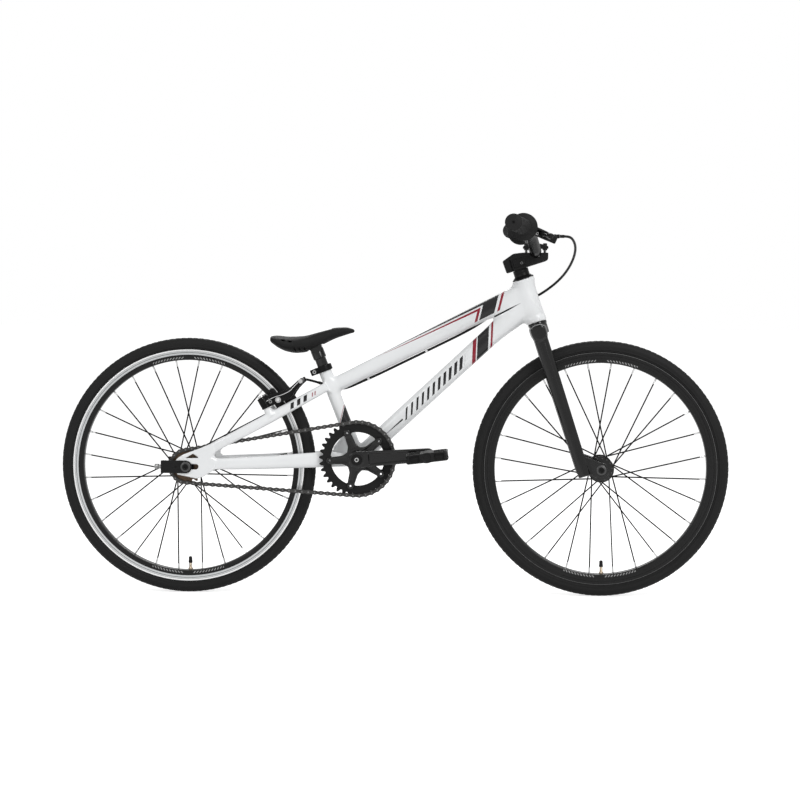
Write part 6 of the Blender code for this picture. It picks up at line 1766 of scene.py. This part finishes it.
def makeLever():
    middle = leverSeat + leverAlong * 30
    low, high = middle - spot(48, 13.5, 30), middle + spot(36, 13.5, 32)
    pieces = [skin("bracketSkin", bracketField, low, high, 1.25, "blackPlastic", 2)]
    for way in (-1, 1):
        at = leverPivot + leverAxis * way * 4.8
        pieces.append(bolt("pivotPin", at, leverAxis * way, 3.2, 2.3, "darkSteel", 0.4))
    barrel = [(0, -12), (3.6, -12), (4, -11.2), (4, -6.2), (3.3, -5.8), (3.3, -4.8),
              (4, -4.4), (4, -0.6), (3.4, 0), (0, 0)]
    pieces.append(lathed("barrel", barrel, barrelMouth, ahead, "blackSatin", 24))
    screw = leverSeat + leverAlong * 24.5 + leverAxis * -1.5 - across * 10.2
    pieces.append(bolt("reachScrew", screw, -across, 2.9, 1.2, "washer", 0.55))
    pieces.append(lathed("pin", rod(2.1, 6.2), leverPivot, leverAxis, "steel", 16))
    mount("bracketPiece", pieces, "steering", "black_plastic", "brake_lever_bracket")

    half = steerPlan["leverThickness"] / 2
    rows = ((2, 6, 4.8, half), (8, 20, 4.4, half), (11.2, 36, 4.3, half * 1.25),
            (12, 50, 4.3, half * 1.5), (10.5, 68, 4.3, half * 1.5), (9, 85, 4.3, half * 1.5),
            (11.2, 97, 4.3, half * 1.5), (13.8, 104.5, 4.3, half * 1.5))
    line = throughPoints([leverSpot(a, b, 0) for a, b, _, _ in rows], 4)
    sizes = throughPoints([(w, h, 0) for _, _, w, h in rows], 4)
    sections = []
    for i, (place, size) in enumerate(zip(line, sizes)):
        along = unit(line[min(i + 1, len(line) - 1)] - line[max(i - 1, 0)])
        sections.append((place, np.cross(leverAxis, along), leverAxis, size[0], size[1]))
    blade = loft("blade", roundEnds(sections, 2.2), "blackSatin", 24, 2.6)
    hub = bothSides([(2.5, -half), (6.6, -half), (7.4, 0.7 - half)])
    hub = lathed("hub", hub, leverPivot, leverAxis, "blackSatin", 32, True)
    mount("leverPiece", [blade, hub], "hand_lever", "silver_alloy", "brake_lever")


makeHeadsetCover()
makeStem()
makeHandlebar()
for side, name in bothHands:
    makeGrip(side, name)
makeLever()
print("steering")


# rear brake: two arms on the stays' bosses, pads at the rim, and the wire between the arms
brakePlan = {
    "y": 40,
    "rows": ((-6, 21.5, 39.5), (0.0, 20.7, 42), (14, 18.7, 41.2), (34, 16, 37.2),
             (52, 14, 33), (60, 19.5, 33.8), (70, 24.2, 35.8), (80, 27.6, 38.4),
             (89.3, 29.5, 39.8)),
    "pad": (27.7, 23.5),
    "shoeRadius": 227.8,
}


def makeBrakeArm(side, name):
    y = side * brakePlan["y"]
    sections = []
    rows = brakePlan["rows"]
    places = np.linspace(rows[0][0], rows[-1][0], 30)
    for t in places:
        low, high = (np.interp(t, [r[0] for r in rows], [r[k] for r in rows]) for k in (1, 2))
        # thinner in the middle of its length, full at both ends
        wide = 5.8 - 1.3 * math.exp(-((t - 46) / 14) ** 2)
        sections.append((onStay(t, (low + high) / 2, y), across, stayUp, wide, (high - low) / 2))
    pieces = [loft("arm", roundEnds(sections, 2), "blackPaint", 28, 3.2)]
    boss = [(4.3, 19.8), (8.8, 19.8), (9.4, 20.6), (9.4, 25), (8.8, 25.6), (8.8, 26.2),
            (9.4, 26.8), (9.4, 42.4), (8.7, 43.1), (4.3, 43.1)]
    pieces.append(lathed("boss", boss, onStay(0, 0, y), stayUp, "blackPaint", 32, True))
    # the return spring lies along the arm's outer face
    out = side * 6.4
    spring = [onStay(t, rise, y + out) for t, rise in (
        (-3, 31.2), (12, 32.2), (26, 31.4), (37.2, 28.8), (54.8, 27.7), (66, 30.8), (79, 34.8))]
    pieces.append(hose("spring", throughPoints(spring, 5), 0.8, "steel", 8))
    for t, rise, size in ((0.0, 29, 6), (12.5, 27.5, 3.4)):
        at = onStay(t, rise, y + side * 5.6)
        pieces.append(bolt("face", at, across * side, size, 2, "washer", 0.5))
    if side < 0:
        pieces.append(nut("anchorNut", anchor(y - 5.6), -across, 4.7, 3.6, "steel"))
    mount("brakeArmPiece" + name, pieces, name + "_brake", "black_paint", "brake_arm_" + name)
    post = [(0, 19.5), (4, 19.5), (4, 43.4), (6, 43.6), (6.5, 44.1), (6.5, 46.3),
            (5.8, 47), (3.6, 47), (3, 45), (0, 45)]
    settle(lathed("brakeBolt" + name, post, onStay(0, 0, y), stayUp, "steel", 28), "frame", "steel",
           "brake_bolt_" + name)


def makeBrakePad(side, name):
    centre = onStay(*brakePlan["pad"])
    radial = unit(centre - rearAxle)
    tangent = above(radial)
    inner, outer, reach = 13.6, 23.4, brakePlan["shoeRadius"]
    sections = []
    for t in np.linspace(-26.8, 26.8, 23):
        # the shoe follows the rim and is rounded at its ends
        bow = radial * (math.sqrt(reach ** 2 - t * t) - reach)
        slot = 0.9 if round((t + 26.8) * 0.41) % 5 == 2 else 0.0
        middle = centre + tangent * t + bow + across * side * (inner + outer) / 2
        sections.append((middle, across * side, radial, (outer - inner) / 2 - slot * 0.3, 5.4 - slot))
    pieces = [loft("shoe", roundEnds(sections, 2.2), "blackPlastic", 24, 3.6)]
    for rows, material in (
            ([(0, 22.5), (3, 22.5), (3, 51.6), (2.4, 52), (0, 52)], "steel"),
            ([(0, 28.8), (5.8, 28.8), (6, 29.2), (6, 31.2), (5, 33.4), (0, 33.6)], "blackPlastic"),
            ([(0, 46.2), (5.2, 46.2), (5.6, 46.6), (5.6, 47.2), (0, 47.4)], "steel")):
        pieces.append(lathed("turned", rows, centre, across * side, material, 24))
    pieces.append(nut("padNut", centre + across * side * 47.2, across * side, 4.6, 3.5, "washer"))
    mount("brakePadPiece" + name, pieces, name + "_brake", "black_rubber", "brake_pad_" + name)


def makeBrakeWire():
    line = throughPoints(noodleLine, 6)
    collar = [(0, 0), (3, 0), (3.2, 0.4), (3.2, 2.6), (0, 3)]
    noodle = gather("noodlePiece", hose("noodle", line, 2.5, "blackPaint"),
                    lathed("collar", collar, anchor(33.5), -across, "steel", 20))
    settle(noodle, "left_brake", "silver_alloy", "brake_noodle")
    start = anchor(23.7)
    core = lathed("core", [(0, 0), (0.8, 0), (0.8, 57.2), (0, 57.2)], start, -across, "steel", 10)
    boot = [(0, 0), (4, 0)]
    for i in range(7):
        wide = 4 - i * 0.22
        boot += [(wide, 1.2 + i * 3.6), (wide - 0.9, 3 + i * 3.6), (wide - 0.3, 4.2 + i * 3.6)]
    boot += [(1.6, 27.2), (0, 27.5)]
    boot = lathed("boot", boot, start, -across, "blackPlastic", 20)
    mount("brakeWirePiece", [core, boot], "right_brake", "steel", "brake_wire")


for side, name in bothHands:
    makeBrakeArm(side, name)
    makeBrakePad(side, name)
makeBrakeWire()
print("brake")


# seat: a one-bolt saddle on its post, and the clamp round the seat tube
seatPlan = {
    "pivot": 236,
    "rows": ((-90.5, 11.5, 20.5, 44), (-84, 3, 22.5, 58), (-64, -8.5, 21, 63),
             (-43, -13, 20, 55), (-20, -11, 22.5, 37), (8, 2, 31, 24),
             (36, 16.5, 38.5, 18.5), (64, 26, 39.5, 14.5), (75.5, 29.5, 34, 9)),
}
seatPivot = bracket + seatUp * seatPlan["pivot"]


def saddleField(p):
    q = p - seatPivot - ahead * 2
    x, y, z = q[:, 0], q[:, 1], q[:, 2]
    rows = np.array(seatPlan["rows"])
    low, high, wide = (eased(x, rows, k) for k in (1, 2, 3))
    middle, tall = (low + high) / 2, (high - low) / 2
    u, v = np.abs(y) / wide, np.abs(z - middle) / tall
    # full on top, rounder beneath
    power = np.where(z > middle, 2.5, 2.2)
    size = (u ** power + v ** power) ** (1 / power)
    body = (size - 1) * np.minimum(wide, tall) * 0.9
    body = softMax(body, np.maximum(rows[0, 0] - x, x - rows[-1, 0]), 4)
    # a shallow channel along the top and a dished tail
    body = body + 1.2 * np.exp(-(y / 8) ** 2) * np.clip((z - middle) / tall, 0, 1) * (x < 30)
    dish = np.hypot(np.hypot(x + 58, (np.abs(y) - 22) * 0.8), (z - 30) * 1.2) - 13.5
    cuts = [(dish, 4)]
    # short grooves low on each flank
    for start in (-21.5, -31, -40.5):
        groove = np.hypot(x - start + (z + 4) * 0.5, np.maximum(0, np.abs(z + 4) - 3.5)) - 0.9
        cuts.append((overlap(groove, wide * 0.45 - np.abs(y)), 0.5))
    for start in (-63, -50):
        slit = np.hypot((x - start) * 0.35, z - 11.8 + (x + 56) * 0.15) - 1.3
        cuts.append((overlap(slit, wide * 0.72 - np.abs(y)), 0.8))
    pocket = roundField(p, seatPivot, across, ((-13.9, 13.4), (13.9, 13.4)))
    throat = blockField(p, seatPivot - seatUp * 13, (seatAhead, across, seatUp), (16.5, 15, 13), 1)
    return carved(body, *cuts, (pocket, 0.6), (throat, 0.8))


def makeSeat():
    low, high = seatPivot + spot(-92, -65, -16), seatPivot + spot(80, 65, 43)
    saddle = skin("saddleSkin", saddleField, low, high, 1.9, "saddlePlastic", 2)
    settle(saddle, "seat", "black_plastic", "saddle")
    post = [(0, 99.2), (10.4, 99.2), (11.1, 100), (11.1, 209.8), (11.3, 211), (12.6, 211.6),
            (13.2, 212.2), (13.2, 229), (12.4, 231.8), (0, 231.8)]
    post = lathed("post", post, bracket, seatUp, "blackGloss", 48)
    knuckle = bothSides([(0, -13), (11.8, -13), (12.5, -12.4)])
    knuckle = lathed("knuckle", knuckle, seatPivot, across, "blackGloss", 40)
    mount("seatpostPiece", [post, knuckle], "post", "black_paint", "seatpost")

    def clampField(p):
        ring = roundField(p, bracket, seatUp, ((183.9, 16.4), (196.1, 16.4)), 1.2)
        ear = blockField(p, onSeat(-21.3, 190), (seatAhead, across, seatUp), (6.6, 7.9, 6.1), 1.2)
        tube = roundField(p, bracket, seatUp, ((170, 13.1), (210, 13.1)))
        split = blockField(p, onSeat(-22, 190), (seatAhead, across, seatUp), (12, 1, 10), 0.2)
        return carved(joined(ring, (ear, 2)), (tube, 0.5), (split, 0.4))

    middle = onSeat(-6, 190)
    pieces = [skin("clampSkin", clampField, middle - spot(26, 19, 16), middle + spot(27, 19, 16), 1.1,
                   "blackPaint", 2)]
    for side in (-1, 1):
        pieces.append(bolt("clampBolt", onSeat(-20, 190, side * 7.8), across * side, 3.9, 3.1, "steel"))
    pieces.append(lathed("shank", rod(2.5, 7.8), onSeat(-20, 190), across, "steel", 14))
    mount("seatClampPiece", pieces, "frame", "black_paint", "seat_clamp")


makeSeat()
print("seat")


# axles, chain tugs, and the plain rings that stay as the frame has them
def makeAxle(name, centre, hubHalf, start, body, node):
    pieces = [lathed("shaft", rod(4.7, start), centre, across, "steel", 24)]
    for side in (-1, 1):
        cone = [(4.7, hubHalf - 4.8), (7, hubHalf - 4.8), (7.9, hubHalf - 4.2),
                (7.9, hubHalf - 0.5), (4.7, hubHalf - 0.5)]
        pieces.append(lathed("locknut", cone, centre, across * side, "axleSteel", 24, True))
        washer = [(0, start), (9.6, start), (9.9, start + 0.4), (9.9, start + 1.2), (8.8, start + 1.8),
                  (0, start + 1.8)]
        pieces.append(lathed("washer", washer, centre, across * side, "axleSteel", 36))
        pieces.append(bolt("head", centre + across * side * (start + 1.7), across * side, 6.2, 3.1,
                           "blackSatin", 0.55, 36))
    mount(name, pieces, body, "steel", node)


def makeTug(side, name):
    x, z = rearAxle[0], rearAxle[2]
    y = side * 61.65
    outline = arcPoints(rearAxle, 12.5, 90, -90, 21) + [(x - 48.5, z - 12.5), (x - 49, z - 12),
                                                         (x - 49, z + 12), (x - 48.5, z + 12.5)]
    hole = arcPoints(rearAxle, 5.6, 0, 345, 24)
    dimple = arcPoints(rearAxle - ahead * 19, 1.2, 0, 330, 12)
    plate = flatPlate("plate", [outline, hole, dimple], 2.6, y, "blackSatin", 0.4)
    heel = [(spot(x - 42.8 + way * 5.8, side * 59, z), across, upward, 3.6, 12.1) for way in (-1, 1)]
    pieces = [plate, loft("heel", roundEnds(heel, 0.8, 2), "blackSatin", 28, 9.0)]
    rows = [(0, 0), (2.7, 0), (3, 0.4)]
    for i in range(13):
        rows += [(3, 1 + i * 0.8), (2.7, 1.4 + i * 0.8)]
    rows += [(2.7, 16), (0, 16)]
    tail = spot(x - 62, side * 56.8, z)
    pieces.append(lathed("screw", rows, tail, ahead, "washer", 18))
    pieces.append(nut("adjuster", tail + ahead * 0.8, ahead, 5.7, 5.6, "washer"))
    flange = [(0, 0), (5.4, 0), (5.6, 0.4), (5.6, 1.2), (4, 2), (4, 6), (0, 6)]
    pieces.append(lathed("flange", flange, tail + ahead * 7, ahead, "washer", 24))
    mount("tugPiece" + name, pieces, "frame", "black_paint", "chain_tug_" + name)


makeAxle("frontAxlePiece", frontAxle, 50, 56.3, "steering", "front_axle")
makeAxle("rearAxlePiece", rearAxle, 55, 63.3, "frame", "rear_axle")
for side, name in bothHands:
    makeTug(side, name)
for node, material in (("headset_bearing_upper", "steel"), ("headset_bearing_lower", "steel"),
                       ("bottom_bracket_cartridge", "darkSteel")):
    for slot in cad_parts[node].material_slots:
        slot.material = finishes[material]
print("axles and tugs")
